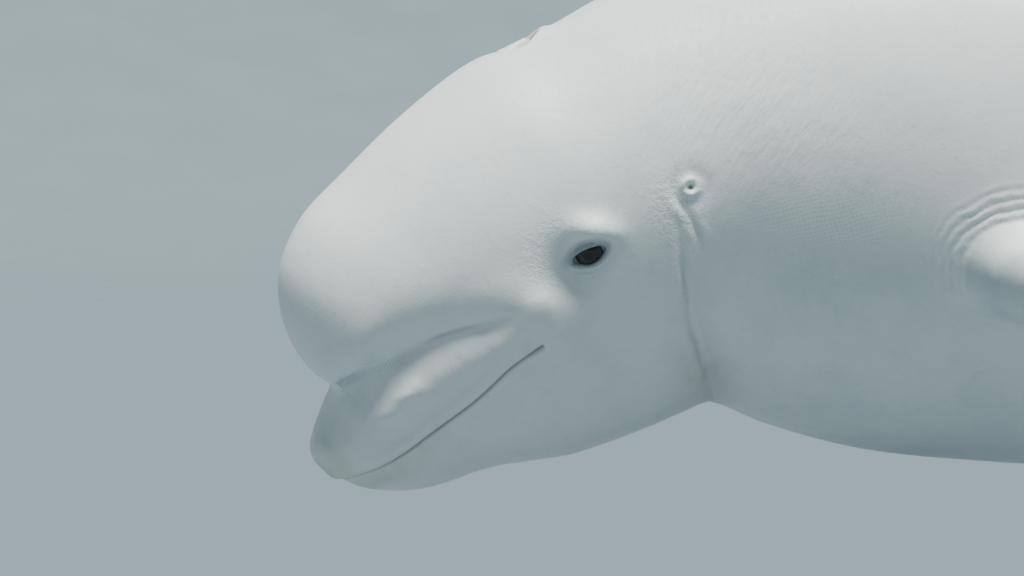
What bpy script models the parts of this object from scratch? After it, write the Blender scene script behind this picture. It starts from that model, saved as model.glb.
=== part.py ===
"""A life-size beluga whale on a display stand, as a museum shows it.

Lengths are metres, +Z is up. The whale looks along -X, its left side is -Y, and its
parts hang from one empty at the tip of the muzzle on the body's long axis. The origin
is the middle of the stand's underside.
"""

import math
from typing import NamedTuple

import bmesh
import bpy
import numpy as np
from mathutils import Vector
from mathutils.bvhtree import BVHTree

# Where the whale hangs over the middle of the stand
MUZZLE_X = -1.72
AXIS_HEIGHT = 0.76

# How finely the body is modelled
SIDES = 48
HEAD_ROWS = 46
BODY_ROWS = 24
GAP = 0.0003

# The eye
EYE_AT = (0.271, -0.124)
EYE_RADIUS = 0.020
EYE_DEPTH = 0.0185
EYE_SLIT = (0.036, 0.018)
EYE_TILT = math.radians(33)
LID_RADIUS = 0.0035

# Small openings and grooves of the skin
EAR_AT = (0.375, -0.053)
EAR_RADIUS = 0.0045
MOUTH_GROOVE = 0.0032
CREASE_GROOVE = 0.0028
BLOWHOLE_X = 0.243
BLOWHOLE_WIDTH = 0.062
BLOWHOLE_SWEEP = 0.020
BLOWHOLE_GROOVE = 0.006

# The flippers
FLIPPER_ROOT = (0.738, -0.148)
FLIPPER_LENGTH = 0.46
FLIPPER_ROOT_CHORD = 0.178
FLIPPER_CHORD = 0.236
FLIPPER_ROOT_THICKNESS = 0.098
FLIPPER_THICKNESS = 0.034
FLIPPER_SUNK = 0.10

# The flukes
FLUKE_HALF_SPAN = 0.48
FLUKE_FRONT_X = 3.50
FLUKE_NOTCH_X = 3.845
FLUKE_TIP_X = 3.86
FLUKE_AXIS_Z = -0.060
FLUKE_THICKNESS = 0.062

# The low ridge along the back, in place of a fin
RIDGE_FROM = 1.62
RIDGE_TO = 2.46
RIDGE_HEIGHT = 0.021
RIDGE_WIDTH = 0.046
RIDGE_SUNK = 0.03
RIDGE_KNOBS = 9

# The stand
BASE_LENGTH = 1.90
BASE_WIDTH = 0.84
BASE_THICKNESS = 0.045
BASE_ROUNDING = 0.012
ROD_RADIUS = 0.032
ROD_X = (-0.52, 0.50)


class Station(NamedTuple):
    """One slanted section: its top and bottom on the outline, and its half widths."""

    top: tuple
    bottom: tuple
    upper: float
    middle: float
    lower: float


# From the muzzle back to the tail, x back from the muzzle and z above the long axis
STATIONS = {
    "muzzle tip": Station((0.004, -0.350), (0.004, -0.350), 0.0, 0.0, 0.0),
    "lip front": Station((0.000, -0.333), (0.022, -0.364), 0.040, 0.043, 0.034),
    "lip": Station((0.004, -0.304), (0.072, -0.381), 0.065, 0.073, 0.056),
    "beak": Station((0.012, -0.282), (0.118, -0.381), 0.081, 0.095, 0.075),
    "melon foot": Station((0.021, -0.266), (0.150, -0.373), 0.092, 0.109, 0.088),
    "melon under": Station((-0.001, -0.250), (0.172, -0.365), 0.096, 0.114, 0.093),
    "melon lip": Station((-0.019, -0.226), (0.190, -0.360), 0.103, 0.120, 0.098),
    "melon nose": Station((-0.034, -0.186), (0.208, -0.356), 0.116, 0.127, 0.104),
    "melon front": Station((-0.036, -0.145), (0.226, -0.354), 0.129, 0.135, 0.110),
    "brow": Station((-0.016, -0.091), (0.250, -0.351), 0.142, 0.145, 0.117),
    "forehead": Station((0.037, -0.032), (0.280, -0.347), 0.153, 0.159, 0.124),
    "melon top": Station((0.107, 0.035), (0.312, -0.338), 0.160, 0.176, 0.131),
    "melon back": Station((0.178, 0.088), (0.345, -0.327), 0.164, 0.190, 0.137),
    "eye": Station((0.236, 0.112), (0.374, -0.316), 0.168, 0.200, 0.145),
    "ear": Station((0.318, 0.158), (0.408, -0.302), 0.176, 0.209, 0.155),
    "nape": Station((0.410, 0.203), (0.443, -0.290), 0.192, 0.217, 0.172),
    "neck": Station((0.500, 0.242), (0.506, -0.314), 0.219, 0.237, 0.203),
    "shoulder": Station((0.620, 0.284), (0.610, -0.343), 0.262, 0.281, 0.255),
    "flipper": Station((0.770, 0.324), (0.765, -0.361), 0.306, 0.325, 0.305),
    "chest": Station((1.050, 0.366), (1.050, -0.372), 0.348, 0.368, 0.352),
    "belly": Station((1.500, 0.384), (1.500, -0.380), 0.362, 0.384, 0.366),
    "navel": Station((1.950, 0.366), (1.950, -0.350), 0.322, 0.352, 0.326),
    "loin": Station((2.400, 0.304), (2.400, -0.286), 0.244, 0.278, 0.245),
    "vent": Station((2.780, 0.226), (2.780, -0.220), 0.168, 0.200, 0.166),
    "tail": Station((3.120, 0.140), (3.120, -0.166), 0.104, 0.130, 0.102),
    "tail stock": Station((3.400, 0.058), (3.400, -0.138), 0.062, 0.080, 0.062),
    "fluke root": Station((3.600, 0.002), (3.600, -0.118), 0.046, 0.060, 0.046),
    "fluke middle": Station((3.770, -0.036), (3.770, -0.086), 0.030, 0.040, 0.030),
    "tail end": Station((3.830, -0.060), (3.830, -0.060), 0.0, 0.0, 0.0),
}

# Lines on the side of the head, seen from the side
MOUTH_LINE = (
    (0.030, -0.368),
    (0.066, -0.351),
    (0.113, -0.316),
    (0.165, -0.275),
    (0.200, -0.240),
    (0.228, -0.220),
)
MELON_FOLD = (
    (0.018, -0.266),
    (0.064, -0.238),
    (0.121, -0.208),
    (0.175, -0.192),
    (0.225, -0.176),
)
LIP_ROLL = ((0.034, -0.312), (0.085, -0.262), (0.150, -0.226), (0.235, -0.188))
JAW_CREASE = (
    (0.358, -0.062),
    (0.368, -0.121),
    (0.385, -0.194),
    (0.403, -0.233),
    (0.434, -0.288),
)
FLANK_FOLD = ((1.25, -0.215), (1.70, -0.215), (2.15, -0.185), (2.60, -0.140))

# Cuts that part the body, seen from the side
MELON_CUT = (
    (-0.120, -0.310),
    *MELON_FOLD[:-1],
    (0.200, -0.120),
    (0.208, 0.000),
    (0.222, 0.180),
)
BEAK_CUT = ((0.150, -0.172), (0.206, -0.204), (0.245, -0.245))
JAW_CUT = (
    (-0.080, -0.400),
    *MOUTH_LINE,
    (0.262, -0.232),
    (0.305, -0.275),
    (0.340, -0.400),
)
HEAD_CUT = (
    (0.430, 0.320),
    (0.408, 0.060),
    (0.394, -0.050),
    *JAW_CREASE[1:],
    (0.452, -0.380),
)
TORSO_CUT_X = 0.560
TAIL_CUT_X = 2.420
STOCK_CUT_X = 3.150

# Which pieces each groove runs over
GROOVED = {
    "mouth": ("upper_jaw", "lower_jaw", "head"),
    "crease": ("head", "neck"),
    "ear": ("head",),
    "blowhole": ("head",),
}


def spline(knots, values, at):
    """A cubic through the values, with parabolic slopes, read at the given places."""
    knots = np.asarray(knots, float)
    values = np.asarray(values, float).reshape(len(knots), -1)
    step = np.diff(knots)[:, None]
    slope = np.diff(values, axis=0) / step
    inner = slope[:-1] * step[1:] + slope[1:] * step[:-1]
    inner /= step[:-1] + step[1:]
    slopes = np.vstack([slope[:1], inner, slope[-1:]])
    at = np.asarray(at, float)
    i = np.clip(np.searchsorted(knots, at, side="right") - 1, 0, len(knots) - 2)
    h = (knots[i + 1] - knots[i])[:, None]
    t = (at - knots[i])[:, None] / h
    return (
        (2 * t**3 - 3 * t**2 + 1) * values[i]
        + (t**3 - 2 * t**2 + t) * h * slopes[i]
        + (3 * t**2 - 2 * t**3) * values[i + 1]
        + (t**3 - t**2) * h * slopes[i + 1]
    )


def smooth_line(points, count):
    """That many points, evenly spread, on a smooth line through a few."""
    points = np.asarray(points, float)
    steps = np.linalg.norm(np.diff(points, axis=0), axis=1)
    knots = np.concatenate([[0], np.cumsum(steps)])
    return spline(knots, points, np.linspace(0, knots[-1], count))


def bump(distance, reach):
    """1 on a line, falling smoothly to nothing at about twice the reach."""
    return np.exp(-((distance / reach) ** 2))


def measure(line, x, z, count=40):
    """How far each place is from a line seen from the side, and how far along it."""
    points = smooth_line(line, count)
    best = np.full(len(x), np.inf)
    along = np.zeros(len(x))
    for i, (a, b) in enumerate(zip(points[:-1], points[1:])):
        d = b - a
        t = np.clip(((x - a[0]) * d[0] + (z - a[1]) * d[1]) / (d @ d), 0, 1)
        far = np.hypot(x - a[0] - t * d[0], z - a[1] - t * d[1])
        nearer = far < best
        best = np.where(nearer, far, best)
        along = np.where(nearer, (i + t) / (count - 1), along)
    return best, along


def relief(places):
    """How far the skin stands out or sinks in at each place of the plain body."""
    x, z = places[:, 0], places[:, 2]
    side = np.abs(places[:, 1])
    fold, along = measure(MELON_FOLD, x, z)
    out = -0.009 * bump(fold, 0.019) * np.sin(math.pi * (0.10 + 0.90 * along**0.7))
    roll, _ = measure(LIP_ROLL, x, z)
    out += 0.005 * bump(roll, 0.022)
    socket = np.hypot(x - EYE_AT[0] + 0.020, z - EYE_AT[1] + 0.014)
    out -= 0.007 * bump(socket, 0.030)
    brow = np.hypot(x - EYE_AT[0] - 0.003, 1.4 * (z - EYE_AT[1] - 0.028))
    out += 0.008 * bump(brow, 0.024)
    flank, _ = measure(FLANK_FOLD, x, z)
    out += 0.020 * bump(flank, 0.075) * np.clip(side / 0.10, 0, 1)
    shoulder = np.hypot(0.6 * (x - FLIPPER_ROOT[0]), z - FLIPPER_ROOT[1])
    out += 0.012 * bump(shoulder, 0.070) * np.clip(side / 0.10, 0, 1)
    return out


def section(angles, upper, middle, lower):
    """Half widths round a section, from its top at angle 0 to its bottom at pi."""
    high = np.cos(angles / 2) ** 4
    low = np.sin(angles / 2) ** 4
    return np.sin(angles) * (upper * high + middle * (1 - high - low) + lower * low)


def body_grid(head_rows, body_rows, sides):
    """Points of the plain body, as rows of sides, without its two end points."""
    stations = list(STATIONS.values())
    tops = np.array([s.top for s in stations])
    bottoms = np.array([s.bottom for s in stations])
    widths = np.array([s[2:] for s in stations])
    step = np.linalg.norm(np.diff(tops, axis=0), axis=1)
    step = (step + np.linalg.norm(np.diff(bottoms, axis=0), axis=1)) / 2
    knots = np.concatenate([[0], np.cumsum(step)])
    neck = knots[list(STATIONS).index("neck")]
    at = np.concatenate(
        [
            np.linspace(0, neck, head_rows + 1)[1:],
            np.linspace(neck, knots[-1], body_rows + 1)[1:-1],
        ]
    )
    top = spline(knots, tops, at)
    bottom = spline(knots, bottoms, at)
    wide = np.maximum(spline(knots, widths, at), 0)
    angles = np.linspace(0, 2 * math.pi, sides, endpoint=False)
    down = (1 - np.cos(angles)) / 2
    rows = []
    for t, b, w in zip(top, bottom, wide):
        middle = t + np.outer(down, b - t)
        half = section(np.minimum(angles, 2 * math.pi - angles), *w)
        rows.append(np.c_[middle[:, 0], np.sign(np.sin(angles)) * half, middle[:, 1]])
    return np.array(rows)


def new_object(name, mesh, parent=None):
    made = bpy.data.objects.new(name, mesh)
    bpy.context.scene.collection.objects.link(made)
    made.parent = parent
    return made


def mesh_of(bm, name):
    mesh = bpy.data.meshes.new(name)
    bmesh.ops.recalc_face_normals(bm, faces=bm.faces)
    bm.to_mesh(mesh)
    bm.free()
    return mesh


def loft(name, rows, first=None, last=None, parent=None):
    """A closed skin over rows of points, run to a point or a flat face at each end.

    Its two halves are split into triangles as mirror images of each other.
    """
    bm = bmesh.new()
    rings = [[bm.verts.new(p) for p in row] for row in rows]
    half = len(rings[0]) / 2
    for a, b in zip(rings, rings[1:]):
        for i, corner in enumerate(a):
            j = (i + 1) % len(a)
            if i < half:
                bm.faces.new((corner, a[j], b[j]))
                bm.faces.new((corner, b[j], b[i]))
            else:
                bm.faces.new((corner, a[j], b[i]))
                bm.faces.new((a[j], b[j], b[i]))
    for ring, tip in ((rings[0], first), (rings[-1], last)):
        if tip is None:
            bm.faces.new(ring)
            continue
        point = bm.verts.new(tip)
        for i, corner in enumerate(ring):
            bm.faces.new((corner, ring[(i + 1) % len(ring)], point))
    return new_object(name, mesh_of(bm, name), parent)


def evaluated_mesh(obj):
    """The object's mesh with its modifiers and its scale made real."""
    bpy.context.view_layer.update()
    graph = bpy.context.evaluated_depsgraph_get()
    return bpy.data.meshes.new_from_object(obj.evaluated_get(graph))


def apply(obj):
    obj.data = evaluated_mesh(obj)
    obj.modifiers.clear()


def boolean(obj, operation, other):
    """Joins, cuts or trims obj by another object, or by all in a collection."""
    modifier = obj.modifiers.new(operation.lower(), "BOOLEAN")
    modifier.operation = operation
    if isinstance(other, bpy.types.Collection):
        modifier.operand_type = "COLLECTION"
        modifier.collection = other
    else:
        modifier.object = other
    apply(obj)


def remove(*objects):
    for obj in objects:
        bpy.data.objects.remove(obj)


def loose_pieces(obj):
    """The object's separate closed pieces, as meshes, the one with most faces first."""
    mesh = obj.data
    piece_of = list(range(len(mesh.vertices)))

    def root(i):
        while piece_of[i] != i:
            piece_of[i] = piece_of[piece_of[i]]
            i = piece_of[i]
        return i

    for edge in mesh.edges:
        a, b = (root(i) for i in edge.vertices)
        piece_of[a] = b
    groups = {}
    for face in mesh.polygons:
        groups.setdefault(root(face.vertices[0]), []).append(tuple(face.vertices))
    meshes = []
    for faces in sorted(groups.values(), key=len, reverse=True):
        used = sorted({i for face in faces for i in face})
        place = {old: new for new, old in enumerate(used)}
        made = bpy.data.meshes.new(obj.name)
        corners = [mesh.vertices[i].co for i in used]
        made.from_pydata(corners, [], [[place[i] for i in face] for face in faces])
        meshes.append(made)
    return meshes


def keep_largest(obj):
    obj.data = loose_pieces(obj)[0]


def knife(name, line, parent, half_depth=0.7):
    """A thin upright plate that follows a line seen from the side, to cut with."""
    line = np.asarray(line, float)
    ahead = np.diff(line, axis=0)
    ahead /= np.linalg.norm(ahead, axis=1)[:, None]
    normals = np.c_[-ahead[:, 1], ahead[:, 0]]
    before = np.vstack([normals[:1], normals])
    after = np.vstack([normals, normals[-1:]])
    mitre = before + after
    mitre /= (mitre * before).sum(axis=1)[:, None]
    outline = np.vstack([line + mitre * GAP / 2, (line - mitre * GAP / 2)[::-1]])
    bm = bmesh.new()
    near, far = (
        [bm.verts.new((x, y, z)) for x, z in outline] for y in (-half_depth, half_depth)
    )
    count, half = len(outline), len(line)
    for i in range(count):
        j = (i + 1) % count
        bm.faces.new((near[i], near[j], far[j], far[i]))
    for side in (near, far):
        for i in range(half - 1):
            bm.faces.new((side[i], side[i + 1], side[-i - 2], side[-i - 1]))
    return new_object(name, mesh_of(bm, name), parent)


def tube(name, points, radii, parent, resolution=0):
    """A round bar along points, its radius given at each, as a closed mesh."""
    curve = bpy.data.curves.new(name, "CURVE")
    curve.dimensions = "3D"
    curve.bevel_depth = 1.0
    curve.bevel_resolution = resolution
    curve.use_fill_caps = True
    line = curve.splines.new("POLY")
    line.points.add(len(points) - 1)
    for point, place, radius in zip(line.points, points, radii):
        point.co = (*place, 1)
        point.radius = radius
    guide = new_object(name + "_line", curve)
    mesh = evaluated_mesh(guide)
    remove(guide)
    bm = bmesh.new()
    bm.from_mesh(mesh)
    bmesh.ops.remove_doubles(bm, verts=bm.verts, dist=1e-5)
    return new_object(name, mesh_of(bm, name), parent)


def tapered(count, radius, end=0.35):
    """Radii that swell from a small end to the middle and back."""
    t = np.linspace(0, math.pi, count)
    return radius * (end + (1 - end) * np.sqrt(np.sin(t)))


class Skin:
    """Finds places on the body's surface from the side, from above or from below."""

    def __init__(self, obj):
        bm = bmesh.new()
        bm.from_mesh(obj.data)
        self.tree = BVHTree.FromBMesh(bm)
        bm.free()

    def side(self, x, z, hand=-1):
        """The place and outward direction at (x, z) on the left, or right for +1."""
        start = Vector((x, hand * 2, z))
        place, normal, _, _ = self.tree.ray_cast(start, Vector((0, -hand, 0)))
        return place, normal

    def top(self, x, y=0.0):
        place, normal, _, _ = self.tree.ray_cast(Vector((x, y, 2)), Vector((0, 0, -1)))
        return place, normal

    def nearest(self, place):
        return self.tree.find_nearest(place)[0]


def mirrored(points):
    return [Vector((p[0], -p[1], p[2])) for p in points]


def make_body(parent):
    """The whole body without fins: the slanted sections, and the skin's relief."""
    rows = body_grid(HEAD_ROWS, BODY_ROWS, SIDES)
    first, last = STATIONS["muzzle tip"].top, STATIONS["tail end"].top
    body = loft("body", rows, (first[0], 0, first[1]), (last[0], 0, last[1]), parent)
    mesh = body.data
    places = np.array([v.co for v in mesh.vertices])
    normals = np.array([v.normal for v in mesh.vertices])
    places += normals * relief(places)[:, None]
    for vertex, place in zip(mesh.vertices, places):
        vertex.co = place
    return body


def make_grooves(skin, parent):
    """The mouth line, the crease behind the jaw, the ears and the blowhole's slit."""
    mouth = smooth_line(MOUTH_LINE, 15)[1:]
    left = [skin.side(x, z)[0] for x, z in mouth]
    front = skin.nearest(Vector((MOUTH_LINE[0][0] - 0.004, 0, MOUTH_LINE[0][1])))
    lips = left[::-1] + [front] + mirrored(left)
    crease = [skin.side(x, z)[0] for x, z in smooth_line(JAW_CREASE[:-1], 10)]
    ear, _ = skin.side(*EAR_AT)
    inward = Vector((0, 0.016, 0))
    hole = [ear - inward, ear + inward]
    slit = [
        skin.top(BLOWHOLE_X - BLOWHOLE_SWEEP * t * t, BLOWHOLE_WIDTH / 2 * t)[0]
        for t in np.linspace(-1, 1, 9)
    ]
    grooves = {
        "mouth": [tube("mouth", lips, tapered(len(lips), MOUTH_GROOVE), parent)],
        "blowhole": [tube("blowhole", slit, tapered(9, BLOWHOLE_GROOVE), parent, 1)],
        "crease": [],
        "ear": [],
    }
    for line, pit in ((crease, hole), (mirrored(crease), mirrored(hole))):
        radii = tapered(len(line), CREASE_GROOVE)
        grooves["crease"].append(tube("crease", line, radii, parent))
        grooves["ear"].append(tube("ear", pit, [EAR_RADIUS] * 2, parent, 1))
    return grooves


class EyeFrame:
    """The eye's place on the skin, with its outward, long and short directions."""

    def __init__(self, skin, hand):
        self.place, self.out = skin.side(*EYE_AT, hand)
        level = Vector((1, 0, 0))
        level = (level - self.out * level.dot(self.out)).normalized()
        rise = self.out.cross(level)
        if rise.z < 0:
            rise = -rise
        self.long = level * math.cos(EYE_TILT) + rise * math.sin(EYE_TILT)
        self.short = rise * math.cos(EYE_TILT) - level * math.sin(EYE_TILT)
        self.centre = self.place - self.out * EYE_DEPTH

    def slit(self, count, grow=0.0):
        """Offsets from the eye's place round its almond-shaped opening."""
        half_long, half_short = EYE_SLIT[0] / 2 + grow, EYE_SLIT[1] / 2 + grow
        for i in range(count):
            a = 2 * math.pi * i / count
            rise = math.copysign(abs(math.sin(a)) ** 1.3, math.sin(a))
            yield self.long * half_long * math.cos(a) + self.short * half_short * rise


def make_eye(name, eye, parent, radius=EYE_RADIUS):
    bm = bmesh.new()
    bmesh.ops.create_uvsphere(bm, u_segments=16, v_segments=10, radius=radius)
    made = new_object(name, mesh_of(bm, name), parent)
    made.location = eye.centre
    made.rotation_euler = eye.out.to_track_quat("Z", "Y").to_euler()
    return made


def make_lids(eye, skin, parent):
    """A raised rim round the eye's opening, as one closed ring."""
    around, tube_sides = 24, 6
    rows = []
    for offset in eye.slit(around, LID_RADIUS * 0.6):
        on_skin = skin.nearest(eye.place + offset)
        away = offset.normalized()
        ring = []
        for k in range(tube_sides):
            a = 2 * math.pi * k / tube_sides
            swell = away * math.cos(a) + eye.out * math.sin(a)
            ring.append(on_skin + swell * LID_RADIUS)
        rows.append(ring)
    bm = bmesh.new()
    rings = [[bm.verts.new(p) for p in ring] for ring in rows]
    for i in range(around):
        a, b = rings[i], rings[(i + 1) % around]
        for k in range(tube_sides):
            j = (k + 1) % tube_sides
            bm.faces.new((a[k], a[j], b[j], b[k]))
    return new_object("lids", mesh_of(bm, "lids"), parent)


def make_eye_opening(eye, parent):
    """The almond-shaped hole through the lids, down to the eyeball's socket."""
    count = 20
    rows = [
        [eye.place + offset + eye.out * depth for offset in eye.slit(count)]
        for depth in (0.03, -EYE_DEPTH * 0.8)
    ]
    return loft("eye_opening", rows, parent=parent)


def make_flipper(name, skin, hand, parent):
    """A paddle that leaves the body outwards and bends back, its tip curled up."""
    root, _ = skin.side(*FLIPPER_ROOT, hand)
    stations, around = 13, 16
    spans = np.linspace(-FLIPPER_SUNK / FLIPPER_LENGTH, 1, stations)
    place = Vector(root)
    rows = []
    before = 0.0
    for s in spans:
        sweep = math.radians(24 + 26 * max(s, 0) ** 0.8)
        droop = math.radians(14 - 12 * max(s, 0) ** 1.5)
        out = Vector((math.sin(sweep), hand * math.cos(sweep), -math.tan(droop)))
        out.normalize()
        place = place + out * (s - before) * FLIPPER_LENGTH if rows else (
            place + out * s * FLIPPER_LENGTH
        )
        before = s
        back = Vector((1, 0, -0.12))
        back = (back - out * back.dot(out)).normalized()
        up = back.cross(out) * -hand
        tip = np.sqrt(np.clip(1 - (max(s, 0.45) - 0.45) ** 2.6 / 0.55**2.6, 0, 1))
        grown = np.clip(s / 0.5, 0, 1)
        grown = grown * grown * (3 - 2 * grown)
        chord = FLIPPER_ROOT_CHORD + (FLIPPER_CHORD - FLIPPER_ROOT_CHORD) * grown
        chord *= max(tip, 0.14)
        thin = math.exp(-2.8 * max(s, 0))
        thick = FLIPPER_THICKNESS + (FLIPPER_ROOT_THICKNESS - FLIPPER_THICKNESS) * thin
        thick *= max(tip, 0.3) * (1 - 0.45 * max(s, 0))
        rows.append(fin_section(place, back, up, chord, thick, around, 0.42))
    return loft(name, rows, parent=parent)


def fin_section(place, back, up, chord, thick, around, pivot):
    """One rounded section of a fin, blunt in front and thin behind."""
    ring = []
    for k in range(around):
        a = 2 * math.pi * k / around
        along = (1 - math.cos(a)) / 2
        rise = math.sin(a) * (1 + 0.45 * math.cos(a)) / 2
        ring.append(place + back * (along - pivot) * chord + up * rise * thick)
    return ring


def make_fluke(name, hand, parent):
    """One fluke, its front edge swept back and its rear edge rounded out."""
    stations, around = 13, 16
    rows = []
    for s in np.linspace(0, 1, stations):
        y = hand * (-0.004 + (FLUKE_HALF_SPAN + 0.004) * s)
        front = FLUKE_FRONT_X + (FLUKE_TIP_X - FLUKE_FRONT_X) * (0.45 * s + 0.55 * s**2.4)
        rear = FLUKE_NOTCH_X + 0.085 * math.sin(math.pi * min(s * 1.05, 1) ** 0.72)
        rear += (FLUKE_TIP_X + 0.028 - FLUKE_NOTCH_X) * s**3
        chord = max(rear - front, 0.02)
        thick = FLUKE_THICKNESS * ((1 - s) ** 0.75 * 0.86 + 0.14)
        place = Vector((front, y, FLUKE_AXIS_Z + 0.012 * s * s))
        back, up = Vector((1, 0, 0)), Vector((0, 0, 1))
        rows.append(fin_section(place, back, up, chord, thick, around, 0.0))
    return loft(name, rows, parent=parent)


def make_ridge(skin, parent):
    """The low knobbly ridge on the back, its root sunk in the body."""
    rows = []
    for t in np.linspace(0, 1, 3 * RIDGE_KNOBS + 1):
        x = RIDGE_FROM + (RIDGE_TO - RIDGE_FROM) * t
        base, _ = skin.top(x)
        rise = math.sin(math.pi * t) ** 0.6 * (
            0.80 + 0.20 * math.cos(2 * math.pi * RIDGE_KNOBS * t)
        )
        crown = base.z - 0.002 + RIDGE_HEIGHT * rise
        foot = base.z - RIDGE_SUNK
        ring = []
        for a in np.linspace(0, math.pi, 5):
            y = RIDGE_WIDTH / 2 * math.cos(a)
            z = base.z - 0.010 + (crown - base.z + 0.010) * math.sin(a)
            ring.append(Vector((x, y, z)))
        ring += [Vector((x, -RIDGE_WIDTH / 3, foot)), Vector((x, RIDGE_WIDTH / 3, foot))]
        rows.append(ring)
    return loft("dorsal_ridge", rows, parent=parent)


def fattened(body):
    """A copy of the body, larger all over by the gap that touching pieces keep."""
    grown = body.copy()
    grown.data = body.data.copy()
    bpy.context.scene.collection.objects.link(grown)
    for vertex in grown.data.vertices:
        vertex.co = vertex.co + vertex.normal * GAP
    return grown


def split(piece, line, across, names):
    """Cuts a piece in two along a line seen from the side, and names the two parts.

    The first name goes to the part that lies lower along the direction across.
    """
    parent = piece.parent
    plate = knife("plate", line, parent)
    boolean(piece, "DIFFERENCE", plate)
    parts = loose_pieces(piece)[:2]
    parts.sort(key=lambda mesh: np.mean([v.co.dot(across) for v in mesh.vertices]))
    remove(plate, piece)
    return {name: new_object(name, mesh, parent) for name, mesh in zip(names, parts)}


def part_body(body):
    """Cuts the body into its named pieces and returns them."""
    forward, upward = Vector((1, 0, 0)), Vector((0, 0, 1))
    pieces = {"body": body}
    for whole, line, across, names in (
        ("body", straight(FLUKE_FRONT_X), forward, ("body", "tail_end")),
        ("body", straight(STOCK_CUT_X), forward, ("body", "tail_stock")),
        ("body", straight(TAIL_CUT_X), forward, ("body", "tail")),
        ("body", straight(TORSO_CUT_X), forward, ("body", "torso")),
        ("body", smooth_line(HEAD_CUT, 22), forward, ("body", "neck")),
        ("body", smooth_line(JAW_CUT, 34), upward, ("lower_jaw", "body")),
        ("body", smooth_line(MELON_CUT, 26), forward, ("melon", "body")),
        ("body", BEAK_CUT, forward, ("upper_jaw", "head")),
    ):
        pieces.update(split(pieces.pop(whole), line, across, names))
    return pieces


def straight(x):
    return ((x, -0.6), (x, 0.6))


def make_stand(parent, whale, underside):
    """The flat base, and two rods whose tops follow the belly."""
    bm = bmesh.new()
    bmesh.ops.create_cube(bm, size=1)
    bmesh.ops.scale(bm, vec=(BASE_LENGTH, BASE_WIDTH, BASE_THICKNESS), verts=bm.verts)
    base = new_object("stand_base", mesh_of(bm, "stand_base"), parent)
    base.location.z = BASE_THICKNESS / 2
    edge = base.modifiers.new("rounded edges", "BEVEL")
    edge.width = BASE_ROUNDING
    edge.segments = 3
    rods = []
    for name, x in zip(("stand_rod_front", "stand_rod_rear"), ROD_X):
        foot = BASE_THICKNESS + GAP
        top = AXIS_HEIGHT - 0.25
        bm = bmesh.new()
        bmesh.ops.create_cone(
            bm,
            cap_ends=True,
            segments=32,
            radius1=ROD_RADIUS,
            radius2=ROD_RADIUS,
            depth=top - foot,
        )
        rod = new_object(name, mesh_of(bm, name), parent)
        rod.location = (x, 0, (top + foot) / 2)
        boolean(rod, "DIFFERENCE", underside)
        keep_largest(rod)
        rods.append(rod)
    return [base, *rods]


def material(name, colour, roughness, metallic=0.0):
    made = bpy.data.materials.new(name)
    made.use_nodes = True
    shader = made.node_tree.nodes["Principled BSDF"]
    shader.inputs["Base Color"].default_value = (*colour, 1)
    shader.inputs["Roughness"].default_value = roughness
    shader.inputs["Metallic"].default_value = metallic
    return made


def main():
    for obj in list(bpy.data.objects):
        bpy.data.objects.remove(obj)
    whale = new_object("whale", None)
    whale.location = (MUZZLE_X, 0, AXIS_HEIGHT)
    bpy.context.view_layer.update()

    body = make_body(whale)
    skin = Skin(body)
    grown = fattened(body)
    eyes = {-1: EyeFrame(skin, -1), 1: EyeFrame(skin, 1)}
    flesh = {}
    for word, hand in (("left", -1), ("right", 1)):
        flipper = make_flipper("flipper_" + word, skin, hand, whale)
        boolean(flipper, "DIFFERENCE", grown)
        keep_largest(flipper)
        flesh[flipper.name] = flipper
    ridge = make_ridge(skin, whale)
    boolean(ridge, "DIFFERENCE", grown)
    keep_largest(ridge)
    flesh[ridge.name] = ridge
    stand = make_stand(None, whale, grown)

    flesh.update(part_body(body))
    for name, grooves in make_grooves(skin, whale).items():
        for cutter in grooves:
            for piece in GROOVED[name]:
                boolean(flesh[piece], "DIFFERENCE", cutter)
            remove(cutter)
    for eye in eyes.values():
        lids = make_lids(eye, skin, whale)
        boolean(flesh["head"], "UNION", lids)
        remove(lids)
    for eye in eyes.values():
        socket = make_eye("socket", eye, whale, EYE_RADIUS + GAP)
        opening = make_eye_opening(eye, whale)
        boolean(socket, "UNION", opening)
        boolean(flesh["head"], "DIFFERENCE", socket)
        remove(opening, socket)

    tail_end = flesh.pop("tail_end")
    for word, hand in (("left", -1), ("right", 1)):
        fluke = make_fluke("fluke_" + word, hand, whale)
        boolean(fluke, "UNION", tail_end)
        half = knife_half(hand, whale)
        boolean(fluke, "INTERSECT", half)
        keep_largest(fluke)
        remove(half)
        flesh[fluke.name] = fluke
    remove(tail_end, grown)

    skin_white = material("skin_white", (0.80, 0.84, 0.84), 0.42)
    skin_fin = material("skin_fin", (0.76, 0.80, 0.81), 0.45)
    eye_dark = material("eye_dark", (0.02, 0.018, 0.02), 0.08)
    base_paint = material("stand_paint", (0.20, 0.24, 0.27), 0.45)
    rod_steel = material("stand_steel", (0.62, 0.63, 0.64), 0.28, 1.0)
    for name, obj in flesh.items():
        fin = name.startswith(("flipper", "fluke"))
        obj.data.materials.clear()
        obj.data.materials.append(skin_fin if fin else skin_white)
        obj.data.shade_smooth()
        obj.data.set_sharp_from_angle(angle=math.radians(40))
    for word, hand in (("left", -1), ("right", 1)):
        eyeball = make_eye("eye_" + word, eyes[hand], whale)
        eyeball.data.materials.append(eye_dark)
        eyeball.data.shade_smooth()
    for obj in stand:
        obj.data.materials.append(base_paint if obj is stand[0] else rod_steel)
    collect("beluga_whale")


def knife_half(hand, parent):
    """All that lies on one side of the middle and behind the flukes' front cut."""
    bm = bmesh.new()
    bmesh.ops.create_cube(bm, size=1)
    made = new_object("half", mesh_of(bm, "half"), parent)
    made.location = (FLUKE_FRONT_X + GAP / 2 + 0.5, hand * (GAP / 2 + 0.5), 0)
    bpy.context.view_layer.update()
    return made


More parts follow.
